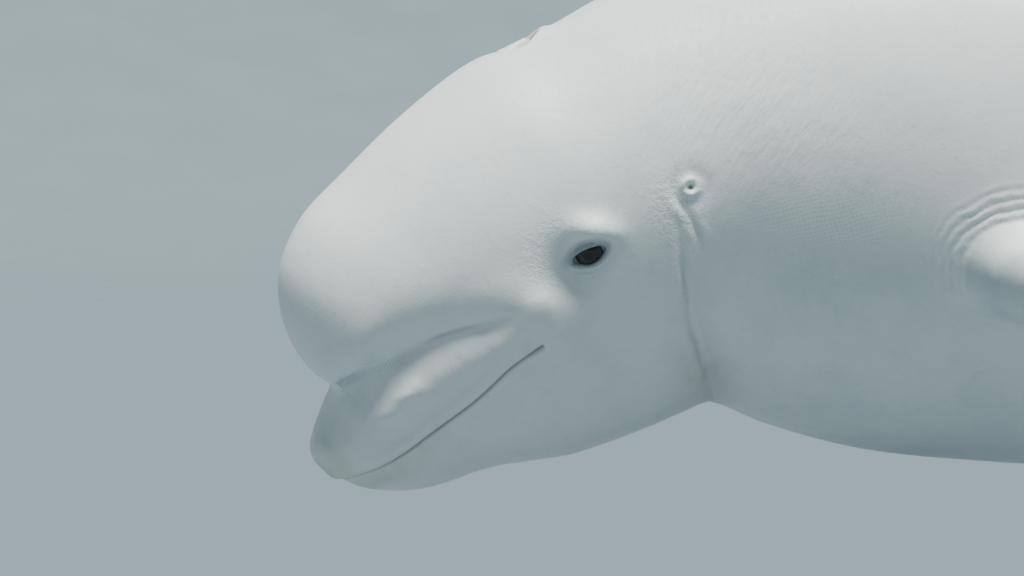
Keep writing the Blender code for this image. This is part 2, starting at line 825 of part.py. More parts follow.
def collect(name):
    """Puts all the model's objects in one collection."""
    home = bpy.data.collections.new(name)
    bpy.context.scene.collection.children.link(home)
    for obj in list(bpy.data.objects):
        for old in list(obj.users_collection):
            old.objects.unlink(obj)
        home.objects.link(obj)


if __name__ == "__main__":
    main()
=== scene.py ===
"""A life-size beluga whale on a display stand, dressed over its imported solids."""

import math
from collections import namedtuple

import bmesh
import bpy
import numpy as np
from bpy.props import FloatProperty, FloatVectorProperty, IntProperty, PointerProperty
from bpy.types import Operator, Panel, PropertyGroup
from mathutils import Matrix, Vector
from mathutils.bvhtree import BVHTree
from mathutils.kdtree import KDTree


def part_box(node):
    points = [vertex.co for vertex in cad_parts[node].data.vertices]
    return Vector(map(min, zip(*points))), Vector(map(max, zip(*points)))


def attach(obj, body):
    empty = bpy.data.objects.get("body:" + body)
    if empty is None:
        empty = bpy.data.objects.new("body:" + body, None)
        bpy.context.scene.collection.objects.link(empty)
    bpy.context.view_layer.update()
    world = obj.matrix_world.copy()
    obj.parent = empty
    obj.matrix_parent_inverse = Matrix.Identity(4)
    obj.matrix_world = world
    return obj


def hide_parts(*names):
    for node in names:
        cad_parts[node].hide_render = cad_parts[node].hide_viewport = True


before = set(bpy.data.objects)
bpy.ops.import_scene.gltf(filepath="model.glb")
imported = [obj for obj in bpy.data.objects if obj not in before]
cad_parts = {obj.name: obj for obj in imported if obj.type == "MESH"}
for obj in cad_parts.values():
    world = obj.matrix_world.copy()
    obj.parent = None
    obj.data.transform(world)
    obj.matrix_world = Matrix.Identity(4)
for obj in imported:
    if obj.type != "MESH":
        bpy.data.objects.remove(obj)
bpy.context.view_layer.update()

bl_info = {
    "name": "Beluga whale on a stand",
    "version": (1, 0, 0),
    "blender": (4, 5, 0),
    "location": "3D View > Sidebar > Whale",
    "description": "Makes the whale's skin and eyes, finishes its stand and sets the stage",
    "category": "Add Mesh",
}

SKIN_NODES = (
    "melon", "upper_jaw", "lower_jaw", "head", "neck", "torso", "tail", "tail_stock",
    "dorsal_ridge", "flipper_left", "flipper_right", "fluke_left", "fluke_right",
)

# The solids stand in a frame that starts at the muzzle, on the body's axis.
MUZZLE = np.array([-1.72, 0.0, 0.76])

# Places on the side of the head and body are x and z, from the muzzle.
EYE_AT = (0.271, -0.124)
EYE_RADIUS = 0.020
EYE_DEPTH = 0.0185
EYE_SLIT = (0.040, 0.0195)
EYE_TILT = math.radians(33)
EYE_REGION = 0.060
EYE_RIM_BACK = 0.0040
EYE_FLOOR_BACK = 0.0064
BROW_PAD_SIZE = (0.027, 0.0135)
EYE_HOLLOW_SIZE = (0.028, 0.021)
# Folds round the lids: way from the edge, depth above and below the eye, and reach.
LID_FOLDS = (
    (0.0072, 0.0012, 0.0008, 0.0018),
    (0.0120, 0.0006, 0.0006, 0.0020),
    (0.0175, 0.0003, 0.0005, 0.0022),
)
EAR_AT = (0.375, -0.053)
LIP_TIP_AT = (0.018, -0.362)
MOUTH_CORNER_AT = (0.236, -0.215)
BEAK_FRONT_AT = (0.026, -0.285)
EYE_HOLLOW_AT = (0.250, -0.152)

BLOWHOLE_X = 0.243
BLOWHOLE_WIDTH = 0.070
BLOWHOLE_SWEEP = 0.020
BLOWHOLE_ABOVE = 0.03

FLIPPER_ROOT = (0.738, -0.148)
FLIPPER_LENGTH = 0.46
FLIPPER_ROOT_CHORD = 0.178
FLIPPER_CHORD = 0.236
FLIPPER_ROOT_THICKNESS = 0.098
FLIPPER_THICKNESS = 0.034
FLIPPER_SUNK = 0.10
FLIPPER_ROUND_FROM = 0.45
FLIPPER_PIVOT = 0.42
FLIPPER_AROUND = 44
# In degrees: at the root, and the change from there to the tip.
FLIPPER_SWEEP = (24, 26)
FLIPPER_DROOP = (14, -12)
FOLD_SPACING = 0.0105

FLUKE_HALF_SPAN = 0.48
FLUKE_FRONT_X = 3.50
FLUKE_NOTCH_X = 3.845
FLUKE_NOTCH_DEPTH = 0.13
FLUKE_TIP_X = 3.86
FLUKE_AXIS_Z = -0.060
FLUKE_CURL = 0.012
FLUKE_THICKNESS = 0.062
FLUKE_ROUND_FROM = 0.90
FLUKE_AROUND = 48

RIDGE_FROM = 1.62
RIDGE_TO = 2.46
RIDGE_KNOBS = 9
RIDGE_HALF_WIDTH = 0.014
BELLY_BELOW = -0.1
NAVEL_X = 1.78
SLIT_X = 2.47
SLIT_HALF_LENGTH = 0.055
VENT_X = 2.66
TAIL_FROM = 2.8

# Rows and turns of the body's first mesh, and how far short of its ends they stop.
HEAD_ROWS = 47
BODY_ROWS = 41
BODY_TURNS = 25
MUZZLE_GAP = 0.0020
TAIL_GAP = 0.0040

# Where fins join the body: how near is the same point, and how short edges merge there.
SAME_POINT = 2e-6
SAME_FIN_POINT = 1e-5
MERGE_BAND = 0.006
MERGE_REACHES = (0.0010, 0.0007, 0.0004, 0.0002)
MOST_TRIANGLES = 199000
ROUGH_FINENESS = 0.25

# A screw's head and its washer: sides, width, height and start, as shares of the head.
SCREW_AND_WASHER = ((6, 1.0, 1.0, 0.25), (24, 1.45, 0.25, 0.0))
SCREW_HEIGHT_SHARE = 0.62
# The pads' rims are found by looking up from just over the base.
ABOVE_BASE = 0.06
SCREW_RING_OUT = 0.004
EDGE_ROUNDING = 0.0012
SCREW_ROUNDING = 0.0005
SENSOR_WIDTH = 36
CAMERA_REACH = 300

Station = namedtuple("Station", "top bottom upper middle lower")

STATIONS = {
    "muzzle tip": Station((0.004, -0.350), (0.004, -0.350), 0, 0, 0),
    "lip front": Station((0, -0.333), (0.022, -0.364), 0.040, 0.043, 0.034),
    "lip": Station((0.004, -0.304), (0.072, -0.381), 0.065, 0.073, 0.056),
    "beak": Station((0.012, -0.282), (0.118, -0.381), 0.081, 0.095, 0.075),
    "melon foot": Station((0.021, -0.266), (0.150, -0.373), 0.092, 0.109, 0.088),
    "melon under": Station((-0.001, -0.250), (0.172, -0.365), 0.096, 0.114, 0.093),
    "melon lip": Station((-0.019, -0.226), (0.190, -0.360), 0.103, 0.120, 0.098),
    "melon nose": Station((-0.034, -0.186), (0.208, -0.356), 0.116, 0.127, 0.104),
    "melon front": Station((-0.036, -0.145), (0.226, -0.354), 0.129, 0.135, 0.110),
    "brow": Station((-0.016, -0.091), (0.250, -0.351), 0.142, 0.145, 0.117),
    "forehead": Station((0.037, -0.032), (0.280, -0.347), 0.153, 0.159, 0.124),
    "melon top": Station((0.107, 0.035), (0.312, -0.338), 0.160, 0.176, 0.131),
    "melon back": Station((0.178, 0.088), (0.345, -0.327), 0.164, 0.190, 0.137),
    "eye": Station((0.236, 0.112), (0.374, -0.316), 0.168, 0.200, 0.145),
    "ear": Station((0.318, 0.158), (0.408, -0.302), 0.176, 0.209, 0.155),
    "nape": Station((0.410, 0.203), (0.443, -0.290), 0.192, 0.217, 0.172),
    "neck": Station((0.500, 0.242), (0.506, -0.314), 0.219, 0.237, 0.203),
    "shoulder": Station((0.620, 0.284), (0.610, -0.343), 0.262, 0.281, 0.255),
    "flipper": Station((0.770, 0.324), (0.765, -0.361), 0.306, 0.325, 0.305),
    "chest": Station((1.05, 0.366), (1.05, -0.372), 0.348, 0.368, 0.352),
    "belly": Station((1.5, 0.384), (1.5, -0.380), 0.362, 0.384, 0.366),
    "navel": Station((1.95, 0.366), (1.95, -0.350), 0.322, 0.352, 0.326),
    "loin": Station((2.4, 0.304), (2.4, -0.286), 0.244, 0.278, 0.245),
    "vent": Station((2.78, 0.226), (2.78, -0.220), 0.168, 0.200, 0.166),
    "tail": Station((3.12, 0.140), (3.12, -0.166), 0.104, 0.130, 0.102),
    "tail stock": Station((3.4, 0.058), (3.4, -0.138), 0.062, 0.080, 0.062),
    "fluke root": Station((3.6, 0.002), (3.6, -0.118), 0.046, 0.060, 0.046),
    "fluke middle": Station((3.77, -0.036), (3.77, -0.086), 0.030, 0.040, 0.030),
    "tail end": Station((3.83, -0.060), (3.83, -0.060), 0, 0, 0),
}

# Lines on the side of the head and body, seen from the side as x and z.
MOUTH_LINE = (
    (0.030, -0.368),
    (0.066, -0.351),
    (0.113, -0.316),
    (0.165, -0.275),
    (0.200, -0.240),
    (0.228, -0.220),
)
MELON_FOLD = (
    (0.018, -0.266),
    (0.064, -0.238),
    (0.121, -0.208),
    (0.175, -0.192),
    (0.225, -0.176),
)
# At the fold: how far from the nose, half width, and how much wider the beak grows.
FOLD_HALF_WIDTHS = (
    (0.018, 0.030, 0.035),
    (0.025, 0.046, 0.022),
    (0.030, 0.054, 0.019),
    (0.035, 0.061, 0.018),
    (0.040, 0.068, 0.015),
    (0.050, 0.078, 0.012),
    (0.060, 0.088, 0.012),
    (0.070, 0.098, 0.011),
    (0.080, 0.106, 0.009),
    (0.100, 0.117, 0.004),
    (0.120, 0.126, 0.0),
    (0.150, 0.136, 0.0),
    (0.180, 0.143, 0.0),
)
LIP_ROLL = (
    (0.034, -0.311),
    (0.060, -0.288),
    (0.094, -0.251),
    (0.119, -0.2265),
    (0.150, -0.208),
    (0.190, -0.185),
    (0.226, -0.166),
)
# How far from the nose, and how far the lip roll lies below the fold there.
RIDGE_BELOW_FOLD = (
    (0.034, 0.055),
    (0.060, 0.046),
    (0.094, 0.028),
    (0.119, 0.019),
    (0.150, 0.013),
)
JAW_CREASE = (
    (0.358, -0.062),
    (0.368, -0.121),
    (0.385, -0.194),
    (0.403, -0.233),
    (0.434, -0.288),
)
EAR_CREASE = ((0.352, -0.040), (0.362, -0.066), (0.381, -0.094), (0.392, -0.130))
THROAT_CREASE = ((0.400, -0.214), (0.410, -0.240), (0.421, -0.262), (0.452, -0.300))
FLANK_FOLD = ((1.25, -0.215), (1.70, -0.215), (2.15, -0.185), (2.60, -0.140))

# Soft swells and hollows of the head: a place, a shift from it, how much x and z count,
# the height and the reach.
SWELLS = {
    "cheek": ((0.196, -0.190), (0, 0), (0.62, 1), 0.0048, 0.028),
    "eye socket": (EYE_AT, (-0.020, -0.014), (1, 1), -0.007, 0.030),
    "brow": (EYE_AT, (0.003, 0.0225), (1, 1.4), 0.008, 0.024),
}

# The skin's longest mesh edges: on the head, how much longer on the body, how much
# shorter at the flukes, and how fast they grow away from a feature.
EDGE_ON_HEAD = 0.0130
EDGE_MORE_ON_BODY = 0.024
EDGE_LESS_AT_FLUKES = 0.016
EDGE_GROWTH = 0.62
# The longest edge at each feature, and how wide a band round it has that.
FINE_LINES = (
    (MOUTH_LINE, 0.0021, 0.003),
    (MELON_FOLD, 0.0026, 0.008),
    (JAW_CREASE, 0.0034, 0.006),
    (EAR_CREASE, 0.0034, 0.004),
    (THROAT_CREASE, 0.0034, 0.004),
)
FINE_SPOTS = (
    (EYE_AT, 0.0017, 0.024),
    (EAR_AT, 0.0019, 0.010),
    ((0.012, -0.350), 0.0042, 0.026),
    ((0.055, -0.262), 0.0046, 0.040),
)
FINE_BLOWHOLE = (0.0018, 0.009)
FINE_FLIPPER_ROOT = (0.0046, 0.030)


def spline(knots, values, at):
    """A cubic through the values, with parabolic slopes, read at the given places."""
    knots = np.asarray(knots, float)
    values = np.asarray(values, float).reshape(len(knots), -1)
    step = np.diff(knots)[:, None]
    slope = np.diff(values, axis=0) / step
    inner = slope[:-1] * step[1:] + slope[1:] * step[:-1]
    inner /= step[:-1] + step[1:]
    slopes = np.vstack([slope[:1], inner, slope[-1:]])
    at = np.asarray(at, float)
    i = np.clip(np.searchsorted(knots, at, side="right") - 1, 0, len(knots) - 2)
    h = (knots[i + 1] - knots[i])[:, None]
    t = (at - knots[i])[:, None] / h
    return (
        (2 * t**3 - 3 * t**2 + 1) * values[i]
        + (t**3 - 2 * t**2 + t) * h * slopes[i]
        + (3 * t**2 - 2 * t**3) * values[i + 1]
        + (t**3 - t**2) * h * slopes[i + 1]
    )


def smooth_line(points, count):
    """That many points, evenly spread, on a smooth line through a few."""
    points = np.asarray(points, float)
    steps = np.linalg.norm(np.diff(points, axis=0), axis=1)
    knots = np.concatenate([[0], np.cumsum(steps)])
    return spline(knots, points, np.linspace(0, knots[-1], count))


def bump(distance, reach):
    """1 on a line, falling smoothly to nothing at about twice the reach."""
    return np.exp(-((distance / reach) ** 2))


def ease(low, high, value):
    """0 below low, 1 above high, and a smooth step between them."""
    t = np.clip((value - low) / (high - low), 0, 1)
    return t * t * (3 - 2 * t)


def follow(line, x, z, count=48):
    """Each place's distance from a line seen from the side, and how far along it lies.

    The distance is positive on the line's left as it runs, which is above a line that
    runs towards the tail.
    """
    points = smooth_line(line, count)
    best = np.full(len(x), np.inf)
    signed = np.zeros(len(x))
    along = np.zeros(len(x))
    for i, (a, b) in enumerate(zip(points[:-1], points[1:])):
        d = b - a
        across_x, across_z = x - a[0], z - a[1]
        t = np.clip((across_x * d[0] + across_z * d[1]) / (d @ d), 0, 1)
        far = np.hypot(across_x - t * d[0], across_z - t * d[1])
        nearer = far < best
        best = np.where(nearer, far, best)
        side = np.sign(d[0] * across_z - d[1] * across_x)
        signed = np.where(nearer, far * side, signed)
        along = np.where(nearer, (i + t) / (count - 1), along)
    return signed, along


def from_spot(at, x, z, shift=(0, 0), counts=(1, 1)):
    """The distance from a spot on the side, or from a place shifted from it."""
    across = counts[0] * (x - at[0] - shift[0])
    return np.hypot(across, counts[1] * (z - at[1] - shift[1]))


def wander(skin, size, seed, waves=5):
    """A smooth, repeatable waver between -1 and 1, about that size from wave to wave."""
    rng = np.random.default_rng(seed)
    total = np.zeros(len(skin.x))
    for _ in range(waves):
        way = rng.normal(size=3)
        way *= rng.uniform(0.7, 1.5) * 2 * math.pi / size / np.linalg.norm(way)
        total += np.sin(skin.x * way[0] + skin.y * way[1] + skin.z * way[2] + rng.uniform(0, 7))
    return total / waves


class PlainBody:
    """The body's slanted sections, read anywhere along it and round its right half."""

    def __init__(self):
        stations = list(STATIONS.values())
        self.tops = np.array([s.top for s in stations])
        self.bottoms = np.array([s.bottom for s in stations])
        self.widths = np.array([s[2:] for s in stations])
        step = np.linalg.norm(np.diff(self.tops, axis=0), axis=1)
        step = (step + np.linalg.norm(np.diff(self.bottoms, axis=0), axis=1)) / 2
        self.knots = np.concatenate([[0], np.cumsum(step)])
        self.neck = self.knots[list(STATIONS).index("neck")]

    def place(self, params):
        """Places for rows of (way along, turn from the top)."""
        along, turn = params.T
        top = spline(self.knots, self.tops, along)
        bottom = spline(self.knots, self.bottoms, along)
        upper, middle, lower = np.maximum(spline(self.knots, self.widths, along), 0).T
        down = ((1 - np.cos(turn)) / 2)[:, None]
        centre = top + down * (bottom - top)
        high = np.cos(turn / 2) ** 4
        low = np.sin(turn / 2) ** 4
        half = np.sin(turn) * (upper * high + middle * (1 - high - low) + lower * low)
        half = np.where((turn <= 0) | (turn >= math.pi), 0, half)
        return np.c_[centre[:, 0], half, centre[:, 1]]


def vertex_normals(points, faces):
    """The outward direction at each point, from the triangles round it."""
    a, b, c = (points[faces[:, k]] for k in range(3))
    across = np.cross(b - a, c - a)
    normals = np.zeros_like(points)
    for k in range(3):
        np.add.at(normals, faces[:, k], across)
    return normals / np.maximum(np.linalg.norm(normals, axis=1), 1e-12)[:, None]


def edge_list(faces):
    """Each edge once, and the numbers of every triangle's three edges."""
    ends = np.sort(faces[:, [[0, 1], [1, 2], [2, 0]]].reshape(-1, 2), axis=1)
    edges, index = np.unique(ends, axis=0, return_inverse=True)
    return edges, index.reshape(-1, 3)


def refine(params, faces, place, limit):
    """Splits each edge that is longer than its limit, and the longest of its faces."""
    edges, sides = edge_list(faces)
    points = place(params)
    middle = (params[edges[:, 0]] + params[edges[:, 1]]) / 2
    length = np.linalg.norm(points[edges[:, 0]] - points[edges[:, 1]], axis=1)
    marked = length > limit(place(middle))
    longest = sides[np.arange(len(faces)), np.argmax(length[sides], axis=1)]
    while True:
        wanted = longest[marked[sides].any(axis=1)]
        if marked[wanted].all():
            break
        marked[wanted] = True
    if not marked.any():
        return params, faces, False
    number = np.full(len(edges), -1)
    number[marked] = len(params) + np.arange(marked.sum())
    grown = np.vstack([params, middle[marked]])
    split = number[sides]
    made = [faces[(split < 0).all(axis=1)]]
    for k in range(3):
        order = [(k + i) % 3 for i in range(3)]
        a, b, c = (faces[:, i] for i in order)
        ab, bc, ca = (split[:, i] for i in order)
        one = (ab >= 0) & (bc < 0) & (ca < 0)
        made += [np.c_[a, ab, c][one], np.c_[ab, b, c][one]]
        two = (ab >= 0) & (bc >= 0) & (ca < 0)
        made.append(np.c_[ab, b, bc][two])
        where = place(grown[bc[two]]) - place(grown[a[two]])
        other = place(grown[c[two]]) - place(grown[ab[two]])
        short = np.linalg.norm(where, axis=1) < np.linalg.norm(other, axis=1)
        a, c, ab, bc = a[two], c[two], ab[two], bc[two]
        made += [np.c_[a, ab, bc][short], np.c_[a, bc, c][short]]
        made += [np.c_[a, ab, c][~short], np.c_[ab, bc, c][~short]]
    whole = (split >= 0).all(axis=1)
    (a, b, c), (ab, bc, ca) = faces[whole].T, split[whole].T
    made += [np.c_[a, ab, ca], np.c_[ab, b, bc], np.c_[ca, bc, c], np.c_[ab, bc, ca]]
    return grown, np.vstack(made), True


def blowhole_turn(y):
    """How far across the blowhole a place is, from -1 to 1, and the slit's x there."""
    turn = y / BLOWHOLE_WIDTH * 2
    return turn, BLOWHOLE_X - BLOWHOLE_SWEEP * turn**2


def longest_edge(points, fineness):
    """The longest edge that the skin's mesh may have at each place of the right half."""
    x, y, z = points.T
    limit = EDGE_ON_HEAD + EDGE_MORE_ON_BODY * ease(0.52, 1.25, x)
    limit = limit - EDGE_LESS_AT_FLUKES * ease(3.25, 3.45, x)

    def near(distance, fine, band):
        return fine + EDGE_GROWTH * np.maximum(np.abs(distance) - band, 0)

    hole = np.hypot(x - blowhole_turn(y)[1], np.maximum(y - 0.034, 0))
    hole = hole + 0.5 * np.maximum(BLOWHOLE_ABOVE - z, 0)
    join_ring = 0.076
    root = np.hypot((x - FLIPPER_ROOT[0]) / 1.45, z - FLIPPER_ROOT[1]) - join_ring
    behind = 0.03 * ease(0.81, 0.87, x) + 0.02 * ease(0.07, 0.12, FLIPPER_ROOT[1] - z)
    wanted = [near(follow(line, x, z)[0], *fine) for line, *fine in FINE_LINES]
    wanted += [near(from_spot(at, x, z), *fine) for at, *fine in FINE_SPOTS]
    wanted += [near(hole, *FINE_BLOWHOLE), near(root, *FINE_FLIPPER_ROOT) + behind]
    return np.minimum.reduce([limit, *wanted]) / fineness


def half_body(fineness):
    """The right half of the plain body as params and triangles, finely meshed."""
    body = PlainBody()
    ends = (MUZZLE_GAP, body.knots[-1] - TAIL_GAP)
    head_rows = np.linspace(ends[0], body.neck, HEAD_ROWS)
    rows = np.concatenate([head_rows, np.linspace(body.neck, ends[1], BODY_ROWS)[1:]])
    turns = np.linspace(0, math.pi, BODY_TURNS)
    params = np.array([(s, t) for s in rows for t in turns])
    count = len(turns)
    faces = []
    for i in range(len(rows) - 1):
        for j in range(count - 1):
            a = i * count + j
            faces.append((a, a + count + 1, a + 1))
            faces.append((a, a + count, a + count + 1))
    faces = np.array(faces)
    again = True
    while again:
        params, faces, again = refine(
            params, faces, body.place, lambda points: longest_edge(points, fineness)
        )
    return body, params, faces, ends


def closed_body(fineness):
    """Points and triangles of the whole plain body, its two halves and ends joined."""
    body, params, faces, ends = half_body(fineness)
    points = body.place(params)
    tips = [STATIONS["muzzle tip"].top, STATIONS["tail end"].top]
    caps = []
    for end, tip in zip(ends, tips):
        rim = np.flatnonzero(params[:, 0] == end)
        rim = rim[np.argsort(params[rim, 1])]
        centre = len(points)
        points = np.vstack([points, [tip[0], 0, tip[1]]])
        params = np.vstack([params, [end, 0]])
        pair = np.c_[rim[:-1], rim[1:], np.full(len(rim) - 1, centre)]
        caps.append(pair if end == ends[0] else pair[:, [1, 0, 2]])
    faces = np.vstack([faces, *caps])
    seam = points[:, 1] == 0
    other = np.where(seam, np.arange(len(points)), 0)
    other[~seam] = len(points) + np.arange((~seam).sum())
    points = np.vstack([points, points[~seam] * (1, -1, 1)])
    faces = np.vstack([faces, other[faces][:, [0, 2, 1]]])
    return points, faces


def broad_relief(points):
    """How far the soft swells and hollows of the head and flanks stand out."""
    x, z = points[:, 0], points[:, 2]
    flat_side = np.clip(np.abs(points[:, 1]) / 0.10, 0, 1)
    fold, along = follow(MELON_FOLD, x, z)
    fold_strength = np.sin(math.pi * np.minimum(along / 0.78, 1) ** 0.7)
    out = -0.009 * bump(fold, 0.019) * fold_strength
    roll, _ = follow(LIP_ROLL, x, z)
    roll_reach = 0.019 + 0.011 * ease(0.11, 0.18, x)
    out += 0.006 * bump(roll, roll_reach) * ease(0.02, 0.06, x) * (1 - ease(0.215, 0.250, x))
    for at, shift, counts, height, reach in SWELLS.values():
        out += height * bump(from_spot(at, x, z, shift, counts), reach)
    flank, _ = follow(FLANK_FOLD, x, z)
    out += 0.020 * bump(flank, 0.075) * flat_side
    shoulder = from_spot(FLIPPER_ROOT, x, z, counts=(0.6, 1))
    out += 0.012 * bump(shoulder, 0.070) * flat_side
    return out


def undercut(points):
    """Draws the sides in under the melon's rim, so that the beak's top faces up."""
    x, z, side = points[:, 0], points[:, 2], np.abs(points[:, 1])
    line = smooth_line(MELON_FOLD, 60)
    below = z - np.interp(x, line[:, 0], line[:, 1])
    at, wide, rise = np.array(FOLD_HALF_WIDTHS).T
    wide, rise = np.interp(x, at, wide), np.interp(x, at, rise)
    widened_over = 0.022
    beak = wide + rise * (1 - np.exp(np.minimum(below, 0) / widened_over))
    reach_above = 0.008 + 0.010 * ease(0.035, 0.075, x)
    ridge = np.interp(x, *np.array(RIDGE_BELOW_FOLD).T)
    let_go = ease(-1.3 * ridge - 0.012, -0.85 * ridge, below)
    amount = np.where(below < 0, let_go, np.exp(-np.maximum(below, 0) / reach_above))
    from_nose, to_corner = ease(0.016, 0.027, x), 1 - ease(0.16, 0.22, x)
    amount = amount * from_nose * to_corner
    moved = side + amount * (beak - side)
    scale = np.where(side > 0, moved / np.maximum(side, 1e-9), 1)
    return points * np.c_[np.ones(len(x)), np.maximum(scale, 0), np.ones(len(x))]


def tree_of(points, faces):
    """What finds places on a surface, by a ray or by nearness."""
    return BVHTree.FromPolygons([tuple(p) for p in points], faces.tolist())


def on_right_side(tree, x, z):
    """The place on the body's right side with that x and z."""
    return np.array(tree.ray_cast(Vector((x, 2, z)), Vector((0, -1, 0)))[0])


def loft(rows, ends=None):
    """Points and triangles of a closed skin over rings of points, fanned at its ends."""
    rows = np.asarray(rows)
    count, around = rows.shape[:2]
    first, last = ends or (rows[0].mean(axis=0), rows[-1].mean(axis=0))
    points = np.vstack([rows.reshape(-1, 3), first, last])
    faces = []
    for j in range(around):
        k = (j + 1) % around
        faces.append((k, j, count * around))
        row = (count - 1) * around
        faces.append((row + j, row + k, count * around + 1))
        for i in range(count - 1):
            a, b = i * around, (i + 1) * around
            faces.append((a + j, a + k, b + k))
            faces.append((a + j, b + k, b + j))
    faces = np.array(faces)
    a, b, c = (points[faces[:, k]] for k in range(3))
    if np.einsum("ij,ij->i", a, np.cross(b, c)).sum() < 0:
        faces = faces[:, ::-1]
    return points, faces


def fin_section(place, back, up, chord, thick, around, pivot):
    """One rounded section of a fin, blunt in front and thin behind."""
    a = np.linspace(0, 2 * math.pi, around, endpoint=False)
    along = (1 - np.cos(a)) / 2
    rise = np.sin(a) * (1 + 0.45 * np.cos(a)) / 2
    return (
        place
        + np.outer((along - pivot) * chord, back)
        + np.outer(rise * thick, up)
    )


def unit(vector):
    return vector / np.linalg.norm(vector)


def flipper_rows(root):
    """Rings of the right flipper, which bends back as it leaves the body."""
    sunk = np.linspace(-FLIPPER_SUNK / FLIPPER_LENGTH, -0.07, 4)
    tip_spans = 1 - 0.18 * (1 - np.linspace(0, 1, 12)) ** 2.2
    near_body, blade = np.linspace(-0.06, 0.20, 24), np.linspace(0.23, 0.80, 20)
    place = None
    before = 0.0
    rows = []
    for s in np.concatenate([sunk, near_body, blade, tip_spans]):
        span = max(s, 0)
        sweep = math.radians(FLIPPER_SWEEP[0] + FLIPPER_SWEEP[1] * span**0.8)
        droop = math.radians(FLIPPER_DROOP[0] + FLIPPER_DROOP[1] * span**1.5)
        out = unit(np.array([math.sin(sweep), math.cos(sweep), -math.tan(droop)]))
        step = out * (s - before) * FLIPPER_LENGTH
        place = root + out * s * FLIPPER_LENGTH if place is None else place + step
        before = s
        back = np.array([1, 0, -0.12])
        back = unit(back - out * back.dot(out))
        up = -np.cross(back, out)
        rounding = (max(s, FLIPPER_ROUND_FROM) - FLIPPER_ROUND_FROM) ** 2.6
        tip = math.sqrt(max(1 - rounding / 0.55**2.6, 0))
        chord = FLIPPER_ROOT_CHORD
        chord += (FLIPPER_CHORD - FLIPPER_ROOT_CHORD) * ease(0, 0.5, s)
        chord *= max(tip, 0.05)
        thin = math.exp(-2.8 * span)
        thick = FLIPPER_THICKNESS + (FLIPPER_ROOT_THICKNESS - FLIPPER_THICKNESS) * thin
        thick *= max(tip, 0.12) * (1 - 0.45 * span)
        size = (chord, thick, FLIPPER_AROUND)
        rows.append(fin_section(place, back, up, *size, FLIPPER_PIVOT))
    return rows


def fluke_rows():
    """Rings of both flukes, from the left tip to the right."""
    tip_spans = 1 - 0.09 * (1 - np.linspace(0, 1, 9)) ** 1.8
    half = np.concatenate([np.linspace(0, 0.9, 40), tip_spans])
    back, up = np.array([1, 0, 0]), np.array([0, 0, 1])
    rows = []
    for s in np.concatenate([-half[:0:-1], half]):
        t = abs(s)
        y = FLUKE_HALF_SPAN * s
        front = FLUKE_FRONT_X
        front += (FLUKE_TIP_X - FLUKE_FRONT_X) * (0.45 * t + 0.55 * t**2.4)
        front -= FLUKE_NOTCH_DEPTH * math.exp(-abs(y) / 0.050)
        rear = FLUKE_NOTCH_X + 0.085 * math.sin(math.pi * min(t * 1.05, 1) ** 0.72)
        rear += (FLUKE_TIP_X + 0.028 - FLUKE_NOTCH_X) * t**3
        rounding = (max(t, FLUKE_ROUND_FROM) - FLUKE_ROUND_FROM) ** 2
        tip = math.sqrt(max(1 - rounding / 0.10**2, 0))
        middle = (front + rear) / 2
        chord = max((rear - front) * (0.06 + 0.94 * tip), 0.004)
        thick = FLUKE_THICKNESS * ((1 - t) ** 0.75 * 0.86 + 0.14) * (0.25 + 0.75 * tip)
        place = np.array([middle - chord / 2, y, FLUKE_AXIS_Z + FLUKE_CURL * t * t])
        rows.append(fin_section(place, back, up, chord, thick, FLUKE_AROUND, 0.0))
    return rows


def mesh_of(bm, name):
    """A mesh with the points and faces of a bmesh, which is freed."""
    mesh = bpy.data.meshes.new(name)
    bm.to_mesh(mesh)
    bm.free()
    return mesh


def new_mesh(name, points, faces):
    mesh = bpy.data.meshes.new(name)
    mesh.from_pydata([tuple(p) for p in points], [], [tuple(f) for f in faces.tolist()])
    mesh.validate()
    return mesh

def new_object(name, mesh):
    made = bpy.data.objects.new(name, mesh)
    bpy.context.scene.collection.objects.link(made)
    return made


def read_mesh(mesh):
    """Points and triangles of a mesh."""
    mesh.calc_loop_triangles()
    points = np.empty(len(mesh.vertices) * 3)
    mesh.vertices.foreach_get("co", points)
    faces = np.empty(len(mesh.loop_triangles) * 3, int)
    mesh.loop_triangles.foreach_get("vertices", faces)
    return points.reshape(-1, 3), faces.reshape(-1, 3)


def finished_mesh(obj):
    """The object's mesh with its modifiers made real."""
    graph = bpy.context.evaluated_depsgraph_get()
    return bpy.data.meshes.new_from_object(obj.evaluated_get(graph))


def joined(shells):
    """The points and triangles of several shells as one."""
    points, faces, count = [], [], 0
    for p, f in shells:
        points.append(p)
        faces.append(f + count)
        count += len(p)
    return np.vstack(points), np.vstack(faces)


def nearest(targets, points):
    """Each point's distance from the targets, and the number of the nearest one."""
    tree = KDTree(len(targets))
    for i, place in enumerate(targets):
        tree.insert(place, i)
    tree.balance()
    found = [tree.find(p) for p in points]
    return np.array([f[2] for f in found]), np.array([f[1] for f in found])


